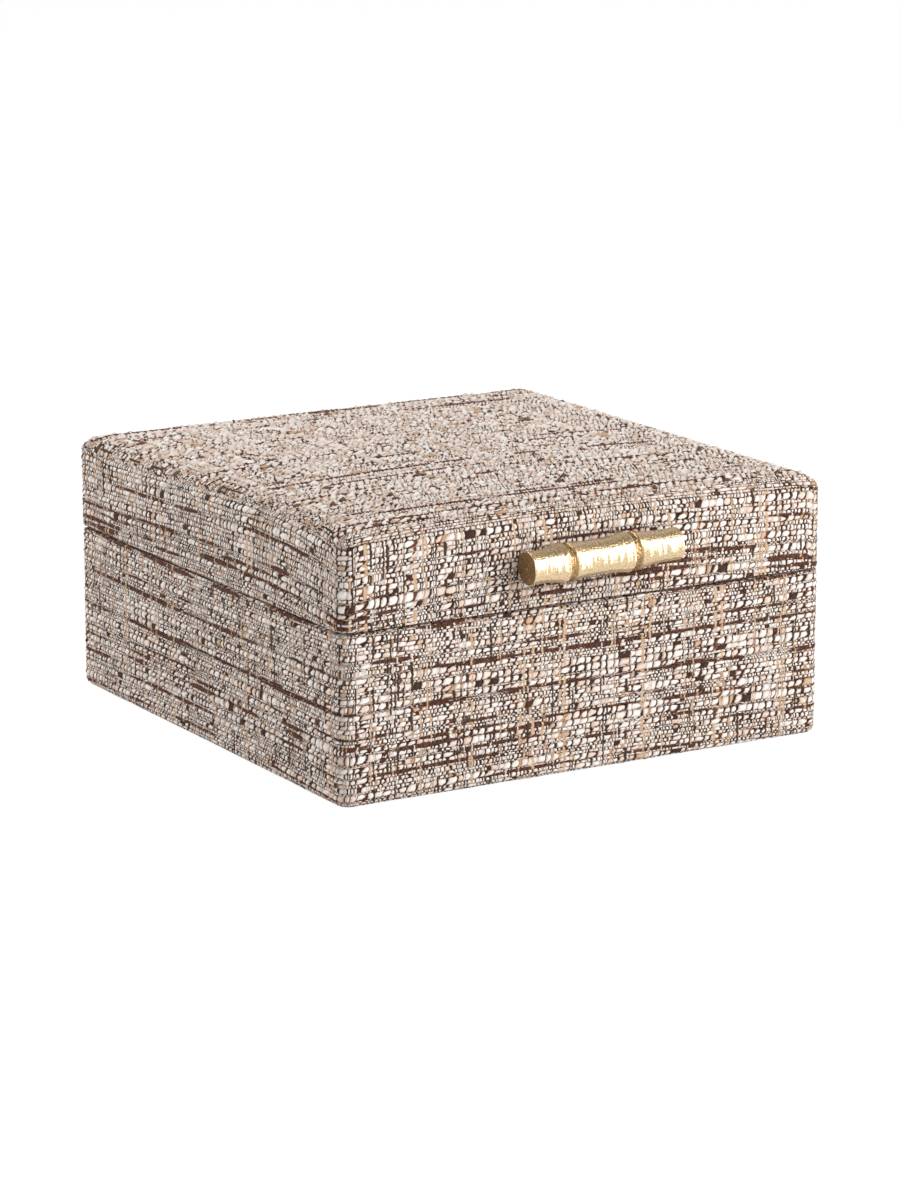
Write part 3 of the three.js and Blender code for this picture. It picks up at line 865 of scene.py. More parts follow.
        # Bulky yarn rises in pebbles two warps wide, fine yarn in small ones or in a level ridge
        walk = place[None] + number[:, None]
        wide = np.sin(math.pi / 2 * walk) ** 2
        pebble = np.floor(walk / 2).astype(int) % (columns // 2)
        proud = self.pebble_proud * rng.random((wefts, columns // 2)) ** 2 - 1
        proud = np.take_along_axis(1 + self.pebble_spread * proud, pebble, axis=1)
        body = self.thick_rise * np.minimum(thick, self.thick_most)
        rounded = self.bulky_rise * (body + self.crest * wide * proud - self.trough)
        small = np.full(rounded.shape, self.flat)
        if self.steps > 1:
            small = self.crest * np.sin(math.pi / 2 * (walk + place[None])) ** 2 - self.trough
        low, high = self.bulky_least - self.bulky_edge, self.bulky_least + self.bulky_edge
        swollen = is_bulky[:, None] * smoothstep(thick, low, high)
        heights = np.full((rows, points), -1.0)
        heights[1::2] = small + (rounded - small) * swollen + self.dark_rise * dark
        slub = np.zeros((rows, points))
        slub[1::2] = dark
        slub[2:-1:2] = np.maximum(dark[1:], dark[:-1]) / 2
        return across, up, heights, slub, bulk

    def cloth(
        self, name: str, places: np.ndarray, slub: np.ndarray, bulk: np.ndarray, closed: bool
    ) -> bmesh.types.BMesh:
        """Makes the cloth's grid of faces with its weave map.

        Args:
            name: the mesh's name.
            places: points in mm by row and column.
            slub: how far each point is on a dark slub, and along the strips' rims how far it is in the
                seam's painted shade.
            bulk: which crossings are of bulky yarn, by weft and column.
            closed: whether the last column meets the first.

        Returns:
            The cloth as a bmesh, in mm.
        """
        columns = places.shape[1] - 1
        mesh, column, row = grid_mesh(name + "_flat", columns, places.shape[0] - 1)
        mesh.vertices.foreach_set("co", places[row, column].astype(np.float32).ravel())
        corner = np.empty(len(mesh.loops), int)
        mesh.loops.foreach_get("vertex_index", corner)
        uv = np.stack([column[corner] / self.steps, row[corner] / 2], axis=1)
        mesh.uv_layers.new(name=WEAVE_MAP).data.foreach_set("uv", uv.astype(np.float32).ravel())
        corners = corner.reshape(-1, 4)
        weft, warp = row[corners].min(axis=1) // 2, column[corners].min(axis=1) // self.steps
        for label, domain, values in (
            (SLUB_AND_SEAM_SHADE_ATTRIBUTE, "POINT", slub[row, column]), (BULK_ATTRIBUTE, "FACE", bulk[weft, warp])
        ):
            layer = mesh.attributes.new(label, "FLOAT", domain)
            layer.data.foreach_set("value", values.astype(np.float32))
        bm = bmesh.new()
        bm.from_mesh(mesh)
        bpy.data.meshes.remove(mesh)
        if closed:
            bm.verts.ensure_lookup_table()
            ends = [bm.verts[k] for k in np.flatnonzero((column == 0) | (column == columns))]
            bmesh.ops.remove_doubles(bm, verts=ends, dist=WELD)
        return bm


@dataclass(frozen=True)
class Footprint:
    """The box's outline seen from above, in mm."""

    half_width: float = 100.0
    half_depth: float = 102.0
    corner: float = 5.0
    inner_corner: float = 0.8

    @property
    def length(self) -> float:
        """Length of the way round."""
        r = self.corner
        return 4 * (self.half_width - r) + 4 * (self.half_depth - r) + 2 * math.pi * r

    def outline(self, share: np.ndarray, inset: np.ndarray) -> tuple[np.ndarray, np.ndarray]:
        """Points of the outline drawn in by an inset.

        Args:
            share: share of the way round, from the middle of the back towards the left wall.
            inset: how far the outline is drawn in, in mm.

        Returns:
            The points' x and y.
        """
        share, inset = np.broadcast_arrays(share, inset)
        w, d, r = self.half_width - self.corner, self.half_depth - self.corner, self.corner
        arc = math.pi * r / 2
        ends = np.cumsum([0, w, arc, 2 * d, arc, 2 * w, arc, 2 * d, arc, w]) / self.length
        radius = np.maximum(r - inset, self.inner_corner)
        cx, cy = self.half_width - inset - radius, self.half_depth - inset - radius
        x, y = np.zeros(share.shape), np.zeros(share.shape)
        signs = [(-1, 1), (-1, -1), (1, -1), (1, 1)]
        for k in range(9):
            last = k == 8
            here = (share >= ends[k]) & ((share <= ends[k + 1]) if last else (share < ends[k + 1]))
            t = (share - ends[k]) / (ends[k + 1] - ends[k])
            if k % 2:
                sx, sy = signs[k // 2]
                angle = math.pi / 2 * (1 + k // 2 + t)
                px, py = sx * cx + radius * np.cos(angle), sy * cy + radius * np.sin(angle)
            else:
                quarter = k // 2 % 4
                slide = t if k == 0 else (t - 1 if last else 2 * t - 1)
                px = (-slide * cx, -cx - radius, slide * cx, cx + radius)[quarter]
                py = (cy + radius, -slide * cy, -cy - radius, slide * cy)[quarter]
            x, y = np.where(here, px, x), np.where(here, py, y)
        return x, y

    def into_corner(self, x: np.ndarray, y: np.ndarray) -> tuple[np.ndarray, np.ndarray, np.ndarray]:
        """How far points reach past the start of the corners along X and Y, and which are in one."""
        in_x = np.abs(x) - self.half_width + self.corner
        in_y = np.abs(y) - self.half_depth + self.corner
        return in_x, in_y, (in_x > 0) & (in_y > 0)


@dataclass
class Crown:
    """The padded top's form over the footprint, in mm."""

    plan: Footprint = field(default_factory=Footprint)
    edge: float = 93.0
    shoulder_rise: float = 4.2
    shoulder_run: float = 14.0
    dome_rise: float = 2.8
    swell_share: float = 0.4
    squareness: float = 6.0
    roll: float = 4.0
    corner_roll: float = 0.55
    corner_ends: Pair = (0.7, 0.97)
    crease: dict[Wall, float] = field(
        default_factory=lambda: {Wall.LEFT: 1.0, Wall.FRONT: 0.2, Wall.RIGHT: 0.9, Wall.BACK: 0.7}
    )
    crease_rows: Pair = (1.6, 0.5)
    crease_ends: Pair = (0.55, 0.92)
    join: dict[Wall, tuple[Pair, ...]] = field(
        default_factory=lambda: {
            Wall.LEFT: (
                (-1, 0.1), (-0.85, 1.15), (-0.66, 2.4), (-0.44, 2.95), (-0.12, 2.0), (0.4, 0.6), (1, 0.1),
            ),
            Wall.FRONT: ((-1, 0.1), (-0.7, 1.2), (-0.2, 2.1), (0.3, 1.9), (0.75, 1.0), (1, 0.1)),
            Wall.RIGHT: ((-1, 0.1), (-0.6, 1.3), (0, 2.2), (0.5, 1.7), (0.8, 0.8), (1, 0.1)),
            Wall.BACK: ((-1, 0.1), (-0.65, 1.1), (-0.1, 2.0), (0.45, 1.8), (0.8, 0.9), (1, 0.1)),
        }
    )
    join_steps: int = 160
    join_smoothing: int = 9
    swell_grid: np.ndarray | None = None

    def crease_depth(self, wall: Wall, share: np.ndarray) -> np.ndarray:
        """How deep the join lies along a wall, at places from -1 to 1."""
        return self.crease[wall] * (1 - smoothstep(np.abs(share), *self.crease_ends))

    def swelling(self, x: np.ndarray, y: np.ndarray) -> np.ndarray:
        """How far the stuffing lifts the cloth at each point."""
        u, v = x / self.plan.half_width, y / self.plan.half_depth
        if self.swell_grid is None:
            return self.swell_share * self.dome_rise * (1 - u**2) * (1 - v**2)
        count = self.swell_grid.shape[0] - 1
        u, v = (np.clip((part + 1) / 2 * count, 0, count - 1e-6) for part in (u, v))
        return between(self.swell_grid, u, v)

    def resting(self, x: np.ndarray, y: np.ndarray) -> np.ndarray:
        """Height of the cloth before the stuffing lifts it.

        Args:
            x: places across, in mm.
            y: places from front to back, in mm.

        Returns:
            Heights in mm.
        """
        over_x = np.maximum(np.abs(x) - self.plan.half_width + self.shoulder_run, 0)
        over_y = np.maximum(np.abs(y) - self.plan.half_depth + self.shoulder_run, 0)
        power = self.squareness
        slide = np.minimum((over_x**power + over_y**power) ** (1 / power) / self.shoulder_run, 1)
        u, v = np.clip(x / self.plan.half_width, -1, 1), np.clip(y / self.plan.half_depth, -1, 1)
        dome = self.dome_rise * (1 - self.swell_share) * (1 - u**2) * (1 - v**2)
        # The padding rolls over the edge, less so where the cloth is drawn tight at the corners
        in_x, in_y, in_corner = self.plan.into_corner(x, y)
        reach = self.plan.corner - np.where(in_corner, np.hypot(in_x, in_y), np.maximum(in_x, in_y))
        short = np.clip(self.roll - reach, 0, self.roll)
        drop = self.roll - np.sqrt(self.roll**2 - short**2)
        tight = smoothstep(np.minimum(np.abs(u), np.abs(v)), *self.corner_ends)
        drop = drop * (1 - (1 - self.corner_roll) * tight)
        return self.edge + self.shoulder_rise * np.sqrt(1 - slide**2) + dome - drop

    def height(self, x: np.ndarray, y: np.ndarray) -> np.ndarray:
        """Height of the finished top."""
        return self.resting(x, y) + self.swelling(x, y)

    def join_inset(self, wall: Wall, share: np.ndarray) -> np.ndarray:
        """How far in from a wall the top panel meets the strip round the sides.

        Args:
            wall: which wall.
            share: place along the wall, from -1 to 1 towards +X or +Y.

        Returns:
            Insets in mm.
        """
        places, insets = zip(*self.join[wall])
        fine = np.linspace(-1, 1, self.join_steps + 1)
        line = np.interp(fine, places, insets)
        window = self.join_smoothing
        for _ in range(3):
            line[window // 2 : -(window // 2)] = np.convolve(line, np.ones(window) / window, mode="valid")
        return np.interp(share, fine, line)


@dataclass(frozen=True)
class StopHinges:
    """Where the two hinges and the bevelled back edges are, in mm."""

    pin_y: float = 98.5
    pin_z: float = 61.9
    places: Pair = (-62.0, 62.0)
    length: float = 34.0
    lid_knuckle: float = 12.0
    knuckle_radius: float = 1.8
    pin_radius: float = 0.7
    pin_dome: Pair = (0.25, 0.4)
    leaf: float = 1.0
    leaf_width: float = 6.0
    leaf_overlap: float = 0.2
    leaf_end: float = 0.6
    soft: float = 0.15
    rim_gap: float = 0.36
    bevel_gap: float = 0.4
    open_angle: float = 96.0
    running_gap: float = 0.3
    cloth_under: float = 0.35
    cloth_clear: float = 0.25
    cloth_ease: Pair = (0.1, 0.9)
    rim_band: float = 5.0
    screw_spacing: float = 24.0
    screw_setback: float = 3.8
    screw_radius: float = 1.6
    screw_head: float = 0.9
    screw_shank: float = 0.8
    screw_length: float = 9.0
    screw_point: Pair = (0.05, 1.2)
    screw_grid: int = 24
    recess: float = 0.55
    recess_arm: Pair = (0.18, 0.32)
    recess_reach: Pair = (0.85, 1.15)
    segments: int = 40

    def bevel(self, y: np.ndarray, side: Side) -> np.ndarray:
        """Height of the bevelled edge's plane at each depth."""
        half = math.radians(self.open_angle / 2)
        fall = math.tan(half) * (y - self.pin_y) + self.bevel_gap / 2 / math.cos(half)
        return self.pin_z + side.inward * fall

    def rim(self, side: Side) -> float:
        """Height of a body's CAD rim, where its leaves and screw heads lie."""
        return self.pin_z + side.inward * self.rim_gap / 2

    def seat(self, places: np.ndarray, side: Side) -> np.ndarray:
        """Presses a rim's cloth clear of the hinge leaves and knuckles.

        Args:
            places: points in mm.
            side: the body whose rim it is.

        Returns:
            The moved points.
        """
        moved = places.copy()
        x, y, z = moved[..., 0], moved[..., 1], moved[..., 2]
        near, far = self.cloth_ease
        along = np.min([np.abs(x - place) for place in self.places], axis=0) - self.length / 2
        within = 1 - smoothstep(along, near, far)
        front = self.pin_y - self.leaf_width - self.running_gap
        inside = smoothstep(y, front - far, front - near)
        near_rim = np.abs(z - self.pin_z) < self.rim_band
        floor = self.rim(side) + side.inward * (self.leaf + self.cloth_under)
        low = np.minimum(z, floor) if side is Side.BASE else np.maximum(z, floor)
        share = within * inside * near_rim * (y < self.pin_y + 0.5)
        moved[..., 2] = z + (low - z) * share
        dy, dz = y - self.pin_y, moved[..., 2] - self.pin_z
        reach = np.hypot(dy, dz)
        clear = self.knuckle_radius + self.running_gap + self.cloth_clear
        push = np.where((reach < clear) & (along < 0.4), clear / np.maximum(reach, 0.2), 1.0)
        moved[..., 1] = self.pin_y + dy * push
        moved[..., 2] = self.pin_z + dz * push
        return moved

    def rod(self, bm: bmesh.types.BMesh, profile: list[Pair], ring: bool) -> None:
        """Turns a profile of places along X and radii about the pin's axis."""
        line = [(x, self.pin_y, self.pin_z + radius) for x, radius in profile]
        turn(bm, line, (0, self.pin_y, self.pin_z), (1, 0, 0), self.segments, ring)

    def leaf_mesh(self, name: str, x: float, side: Side) -> bpy.types.Mesh:
        """Makes one leaf with its knuckles.

        Args:
            name: the mesh's name.
            x: the hinge's middle.
            side: the body that the leaf is screwed to.

        Returns:
            The leaf's mesh.
        """
        half, inner = self.length / 2, self.lid_knuckle / 2
        spans = [(-inner, inner)]
        if side is Side.BASE:
            spans = [(-half, -inner - self.running_gap), (inner + self.running_gap, half)]
        bottom, top = sorted((self.rim(side), self.rim(side) + side.inward * self.leaf))
        flat_end = self.pin_y - self.knuckle_radius - self.running_gap
        plates = [(-half, half, self.pin_y - self.leaf_width, flat_end)]
        plates += [(a, b, flat_end - self.leaf_overlap, self.pin_y - self.leaf_end) for a, b in spans]
        bm = bmesh.new()
        for low, high, front, back in plates:
            edges = block(bm, Vector((x + low, front, bottom)), Vector((x + high, back, top)))
            soften(bm, edges, self.soft, 2)
        bore, radius, soft = self.pin_radius + self.running_gap, self.knuckle_radius, self.soft
        for low, high in spans:
            start, end = x + low, x + high
            left = [(start, bore), (start, radius - soft), (start + soft, radius)]
            self.rod(bm, left + [(end - soft, radius), (end, radius - soft), (end, bore)], ring=True)
        return mesh_from(bm, name, smooth=False)

    def pin_mesh(self, name: str, x: float) -> bpy.types.Mesh:
        """Makes the pin with its domed ends."""
        half, (dome, tip) = self.length / 2, self.pin_dome
        profile = [(x - half, 0.0), (x - half, tip), (x - half + dome, self.pin_radius)]
        profile += [(x + half - dome, self.pin_radius), (x + half, tip), (x + half, 0.0)]
        bm = bmesh.new()
        self.rod(bm, profile, ring=False)
        return mesh_from(bm, name)

    def screw_mesh(self, name: str, x: float, side: Side) -> bpy.types.Mesh:
        """Makes a countersunk screw with a cross recess, its head level with the leaf.

        Args:
            name: the mesh's name.
            x: the screw's place along the hinge.
            side: the body that it is driven into.

        Returns:
            The screw's mesh.
        """
        bm = bmesh.new()
        bmesh.ops.create_grid(bm, x_segments=self.screw_grid, y_segments=self.screw_grid, size=1)
        for vert in bm.verts:
            u, v = vert.co.x, vert.co.y
            scale = self.screw_radius * max(abs(u), abs(v)) / max(math.hypot(u, v), TINY)
            px, py = u * scale, v * scale
            arm = 1 - smoothstep(np.array(min(abs(px), abs(py))), *self.recess_arm)
            reach = 1 - smoothstep(np.array(math.hypot(px, py)), *self.recess_reach)
            vert.co = (px, py, -float(self.recess * arm * reach))
        rim = [edge for edge in bm.edges if edge.is_boundary]
        point, taper = self.screw_point
        for radius, depth in (
            (self.screw_shank, self.screw_head),
            (self.screw_shank, self.screw_length - taper),
            (point, self.screw_length),
        ):
            rim, drawn = extrude(bm, rim)
            for vert in drawn:
                flat = math.hypot(vert.co.x, vert.co.y)
                vert.co = (vert.co.x * radius / flat, vert.co.y * radius / flat, -depth)
        bmesh.ops.edgeloop_fill(bm, edges=rim)
        if side is Side.LID:
            bmesh.ops.rotate(bm, matrix=Matrix.Rotation(math.pi, 3, "X"), verts=bm.verts)
        place = (x, self.pin_y - self.screw_setback, self.rim(side))
        bmesh.ops.translate(bm, vec=place, verts=bm.verts)
        bmesh.ops.recalc_face_normals(bm, faces=bm.faces)
        return mesh_from(bm, name)

    def build(self, brass: bpy.types.Material) -> None:
        """Builds both hinges in place of their CAD solids."""
        for label, x in zip(("hinge_left", "hinge_right"), self.places):
            for side in Side:
                name = f"{label}_{side.value}_leaf"
                leaf = link_piece(self.leaf_mesh(name + "_rolled", x, side), side, brass)
                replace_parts(leaf, name)
                for number, offset in enumerate((-self.screw_spacing / 2, self.screw_spacing / 2), 1):
                    name = f"{label}_{side.value}_screw_{number}"
                    mesh = self.screw_mesh(name + "_driven", x + offset, side)
                    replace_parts(link_piece(mesh, side, brass), name)
            pin = link_piece(self.pin_mesh(f"{label}_pin_drawn", x), Side.BASE, brass)
            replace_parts(pin, f"{label}_pin")


@dataclass
class Wrap:
    """A strip of tweed glued round the walls of the base or the lid, in mm."""

    side: Side
    crown: Crown
    hinges: StopHinges
    weave: Weave
    foot: float = 0.4
    rims: dict[Side, float] = field(default_factory=lambda: {Side.BASE: 61.6, Side.LID: 62.2})
    rim_round: float = 0.8
    foot_round: float = 2.6
    inner_round: float = 1.0
    opening: float = 10.9
    turn_in: float = 10.0
    turn_under: float = 12.0
    rim_relief: float = 0.22
    foot_relief: float = 0.7
    under_relief: float = 0.2
    corner_join: float = 0.1
    end_crease: Pair = (1.1, 0.4)
    # Painted shade of the seam: rim yarns this far in from the outer face, within this band of the hinge
    # pin's height, are marked dark
    seam_shade_inset: float = 1.3
    seam_shade_band: float = 0.4
    seed: int = 11
    around: int = 1600
    fine: int = 420

    @property
    def plan(self) -> Footprint:
        """The outline that the strip follows."""
        return self.crown.plan

    def rim_height(self, inset: np.ndarray, y: np.ndarray) -> np.ndarray:
        """Height of the cloth over the rim.

        Args:
            inset: distance in from the outer face.
            y: the points' depth, for the bevel along the back.

        Returns:
            Heights in mm.
        """
        outer = np.clip(self.rim_round - inset, 0, self.rim_round)
        inner = np.clip(inset - self.opening + self.inner_round, 0, self.inner_round)
        drop = self.rim_round - np.sqrt(self.rim_round**2 - outer**2)
        drop = drop + self.inner_round - np.sqrt(self.inner_round**2 - inner**2)
        level = self.rims[self.side] + self.side.inward * drop
        pick = np.minimum if self.side is Side.BASE else np.maximum
        return pick(level, self.hinges.bevel(y, self.side))

    def path(self, share: np.ndarray) -> np.ndarray:
        """The way the strip takes over the walls, from its lower or inner edge.

        Args:
            share: places round the box, as a column.

        Returns:
            Points by place and step, with how much of the weave's relief shows at each and how
            far each is in the seam's painted shade.
        """
        outline, full = self.plan.outline, 1.0
        ease = (1 - np.cos(np.linspace(0, math.pi, 90))) / 2
        rim_inset = self.opening * ease[None]
        rim_x, rim_y = outline(share, rim_inset)
        rim_z = self.rim_height(rim_inset, rim_y)
        step = np.linspace(0, 1, 70)[None]
        side_x, side_y = outline(share, np.zeros_like(step))
        lip_step = np.linspace(0, 1, 12)[None, 1:]
        lip_edge = self.rims[self.side] + self.side.inward * self.turn_in
        rim_end = rim_z[:, -1:]
        if self.side is Side.BASE:
            under_x, under_y = outline(share, np.linspace(self.turn_under, self.foot_round, 14)[None])
            angle = np.linspace(0, math.pi / 2, 12)[None, 1:]
            bend_x, bend_y = outline(share, self.foot_round * (1 - np.sin(angle)))
            low = self.foot + self.foot_round
            bend_z = low - self.foot_round * np.cos(angle)
            side_z = low + (rim_z[:, :1] - low) * step
            lip_z = rim_end + (lip_edge - rim_end) * lip_step
            runs = [
                (under_x, under_y, np.full_like(under_x, self.foot), self.under_relief),
                (bend_x, bend_y, bend_z, self.foot_relief),
                (side_x[:, 1:], side_y[:, 1:], side_z[:, 1:], full),
                (rim_x[:, 1:], rim_y[:, 1:], rim_z[:, 1:], self.rim_relief),
                (rim_x[:, -1:], rim_y[:, -1:], lip_z, self.rim_relief),
            ]
        else:
            top = self.crown.height(side_x[:, :1], side_y[:, :1])
            side_z = rim_z[:, :1] + (top - rim_z[:, :1]) * step
            over_x, over_y = outline(share, np.linspace(0, 1, 40)[None, 1:] ** 2 * self.join_inset(share))
            lip_z = lip_edge + (rim_end - lip_edge) * lip_step
            runs = [
                (rim_x[:, -1:], rim_y[:, -1:], lip_z, self.rim_relief),
                (rim_x[:, -2::-1], rim_y[:, -2::-1], rim_z[:, -2::-1], self.rim_relief),
                (side_x[:, 1:], side_y[:, 1:], side_z[:, 1:], full),
                (over_x, over_y, self.crown.height(over_x, over_y), full),
            ]
        rows = []
        for x, y, z, relief in runs:
            size = (len(share), z.shape[1])
            # Painted shade: points in the seam between lid and base are marked dark, to take the slub colour
            near_rim = np.abs(z - self.hinges.pin_z) < self.seam_shade_band
            outer = np.maximum(np.abs(x) - self.plan.half_width, np.abs(y) - self.plan.half_depth)
            dark = near_rim & (outer > -self.seam_shade_inset)
            parts = (x, y, z, np.full(size, relief), dark)
            rows.append(np.stack([np.broadcast_to(part, size) for part in parts], axis=2))
        return np.concatenate(rows, axis=1)

    def by_wall(
        self, share: np.ndarray, value: Callable[[Wall, np.ndarray], np.ndarray], corner: float
    ) -> np.ndarray:
        """Works out a value for each place round the box from the wall that it is on.

        Args:
            share: places round the box.
            value: gives a wall's values at places along it, from -1 to 1.
            corner: the value round the corners.

        Returns:
            The values.
        """
        x, y = self.plan.outline(share, np.zeros_like(share))
        u, v = x / self.plan.half_width, y / self.plan.half_depth
        on_x = np.abs(x) > self.plan.half_width - 1e-6
        on_y = np.abs(y) > self.plan.half_depth - 1e-6
        walls = (
            (Wall.LEFT, on_x & (x < 0), v), (Wall.RIGHT, on_x & (x > 0), v),
            (Wall.FRONT, on_y & (y < 0), u), (Wall.BACK, on_y & (y > 0), u),
        )
        picked = np.full(share.shape, corner)
        for wall, here, along in walls:
            picked = np.where(here, value(wall, along), picked)
        return picked

    def join_inset(self, share: np.ndarray) -> np.ndarray:
        """How far in the strip reaches over the shoulder at places round the box."""
        return self.by_wall(share, self.crown.join_inset, self.corner_join)

    def table(self) -> tuple[np.ndarray, float]:
        """The strip's surface at even steps round the box and along its way, with the mean length."""
        share = np.linspace(0, 1, self.around + 1)[:, None]
        points = self.path(share)
        steps = np.linalg.norm(np.diff(points[..., :3], axis=1), axis=2)
        walked = np.concatenate([np.zeros((len(share), 1)), np.cumsum(steps, axis=1)], axis=1)
        even = np.linspace(0, 1, self.fine + 1)
        surface = np.empty((len(share), self.fine + 1, points.shape[2]))
        for k in range(len(share)):
            for part in range(points.shape[2]):
                surface[k, :, part] = np.interp(even * walked[k, -1], walked[k], points[k, :, part])
        return surface, float(walked[:, -1].mean())

    def build(self, tweed: bpy.types.Material) -> bpy.types.Object:
        """Builds the strip in place of its CAD solid.

        Args:
            tweed: the cloth's material.

        Returns:
            The strip's piece.
        """
        surface, length = self.table()
        columns, wefts = self.weave.columns(self.plan.length), self.weave.wefts(length)
        across, up, heights, slub, bulk = self.weave.lattice(columns, wefts, self.seed)
        found = between(surface, up * self.fine, across * self.around, ease=False)
        places, shown = found[..., :3], found[..., 3]
        normals = surface_normals(places, closed=True)
        # The strip's two ends meet in a shallow crease at the middle of the back
        for column, depth in enumerate(self.end_crease):
            heights[:, column] -= depth
            heights[:, -1 - column] -= depth
        heights[:, -1] = heights[:, 0]
        slub[:, -1] = slub[:, 0]
        # Painted shade: the seam's dark marks join the slubs and take their colour
        slub = np.maximum(slub, found[..., 4])
        if self.side is Side.LID:
            crease = self.by_wall(across[0], self.crown.crease_depth, 0.0)
            for row, depth in enumerate(self.crown.crease_rows):
                heights[-1 - row] -= depth * crease
        places = places + normals * (heights * shown * self.weave.relief)[..., None]
        places = self.hinges.seat(places, self.side)
        places[:, -1] = places[:, 0]
        name = "base_tweed_strip" if self.side is Side.BASE else "lid_tweed_strip"
        bm = self.weave.cloth(name, places, slub, bulk, closed=True)
        piece = link_piece(mesh_from(bm, name), self.side, tweed)
        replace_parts(piece, "base_fabric_wrap" if self.side is Side.BASE else "lid_side_wrap")
        self.plan.length * MM
        return piece


@dataclass
class PaddedTop:
    """The lid's foam pad with its tweed panel drawn over it, in mm."""

    crown: Crown
    weave: Weave
    base: float = 90.3
    tuck: float = 1.2
    sim_steps: int = 36
    sim_frames: int = 20
    sim_held: float = 2.5
    sim_mass: float = 0.2
    sim_stiffness: float = 12.0
    sim_bending: float = 0.6
    sim_pressure: float = 4.0
    cap: float = 6.0
    edge_run: float = 15.0
    hem_yarns: float = 6.0
    hem_relief: float = 0.45
    seed: int = 29

    def swell(self) -> None:
        """Lets cloth with stuffing under it find its form, and keeps how far each point rose."""
        plan, count = self.crown.plan, self.sim_steps
        mesh, column, row = grid_mesh("swelling_panel", count, count)
        u, v = 2 * column / count - 1, 2 * row / count - 1
        x, y = u * plan.half_width, v * plan.half_depth
        start = np.stack([x, y, self.crown.resting(x, y)], axis=1) * MM
        mesh.vertices.foreach_set("co", start.astype(np.float32).ravel())
        panel = bpy.data.objects.new("swelling_panel", mesh)
        scene = bpy.context.scene
        scene.collection.objects.link(panel)
        held = panel.vertex_groups.new(name="held")
        rim = np.flatnonzero(np.maximum(np.abs(u), np.abs(v)) > 1 - self.sim_held / count)
        held.add([int(k) for k in rim], 1.0, "REPLACE")
        cloth = panel.modifiers.new("stuffing", "CLOTH").settings
        cloth.vertex_group_mass = held.name
        cloth.mass = self.sim_mass
        cloth.tension_stiffness = cloth.compression_stiffness = self.sim_stiffness
        cloth.bending_stiffness = self.sim_bending
        cloth.use_pressure = True
        cloth.uniform_pressure_force = self.sim_pressure
        cloth.effector_weights.gravity = 0
        for number in range(1, self.sim_frames + 1):
            scene.frame_set(number)
        depsgraph = bpy.context.evaluated_depsgraph_get()
        risen = np.empty(len(mesh.vertices) * 3)
        panel.evaluated_get(depsgraph).data.vertices.foreach_get("co", risen)
        scene.frame_set(1)
        rise = np.clip(risen.reshape(-1, 3)[:, 2] / MM - start[:, 2] / MM, 0, self.cap)
        log.info("stuffing lifts the panel by up to %.2f mm before it is drawn down", rise.max())
        grid = np.zeros((count + 1, count + 1))
        grid[row, column] = rise
        bpy.data.objects.remove(panel)
        bpy.data.meshes.remove(mesh)
        self.crown.swell_grid = grid * self.crown.swell_share * self.crown.dome_rise / max(rise.max(), 1e-3)

    def run(self, along: Wall) -> tuple[np.ndarray, np.ndarray]:
        """Distance out from the middle and length of cloth up to it, along X or Y.

        Args:
            along: the wall that the way leads to, the right or the back.

        Returns:
            Distances in mm and lengths in mm.
        """
        half = self.crown.plan.half_width if along is Wall.RIGHT else self.crown.plan.half_depth
        level = np.linspace(0, half - self.edge_run, 60)[:-1]
        shoulder = half - self.edge_run * (1 - np.linspace(0, 1, 200)) ** 2
        out = np.concatenate([level, shoulder])
        zero = np.zeros_like(out)
        z = self.crown.height(out, zero) if along is Wall.RIGHT else self.crown.height(zero, out)
        return out, np.concatenate([[0], np.cumsum(np.hypot(np.diff(out), np.diff(z)))])

    def places(self, across: np.ndarray, up: np.ndarray) -> np.ndarray:
        """Points of the panel.

        Args:
            across: shares of the way from left to right.
            up: shares of the way from front to back.

        Returns:
            Points in mm by row and column.
        """
        plan = self.crown.plan
        found = []
        for half, ends, along, share in (
            (plan.half_width, (Wall.LEFT, Wall.RIGHT), 2 * up - 1, across),
            (plan.half_depth, (Wall.FRONT, Wall.BACK), 2 * across - 1, up),
        ):
            out, cloth = self.run(ends[1])
            first, last = (np.interp(half - self.crown.join_inset(end, along), out, cloth) for end in ends)
            walked = share * (first + last) - first
            found.append(np.sign(walked) * np.interp(np.abs(walked), cloth, out))
        x, y = found
        in_x, in_y, corner = plan.into_corner(x, y)
        pull = np.where(corner, np.maximum(in_x, in_y) / np.maximum(np.hypot(in_x, in_y), TINY), 1.0)
        x = np.where(corner, np.sign(x) * (plan.half_width - plan.corner + in_x * pull), x)
        y = np.where(corner, np.sign(y) * (plan.half_depth - plan.corner + in_y * pull), y)
        return np.stack([x, y, self.crown.height(x, y)], axis=2)

    def build(self, tweed: bpy.types.Material) -> bpy.types.Object:
        """Builds the padded top in place of the CAD cover and foam.

        Args:
            tweed: the cloth's material.

        Returns:
            The padded piece.
        """
        self.swell()
        plan = self.crown.plan
        columns = self.weave.columns(2 * plan.half_width)
        wefts = self.weave.wefts(2 * plan.half_depth)
        across, up, heights, slub, bulk = self.weave.lattice(columns, wefts, self.seed)
        places = self.places(across, up)
        normals = surface_normals(places, closed=False)
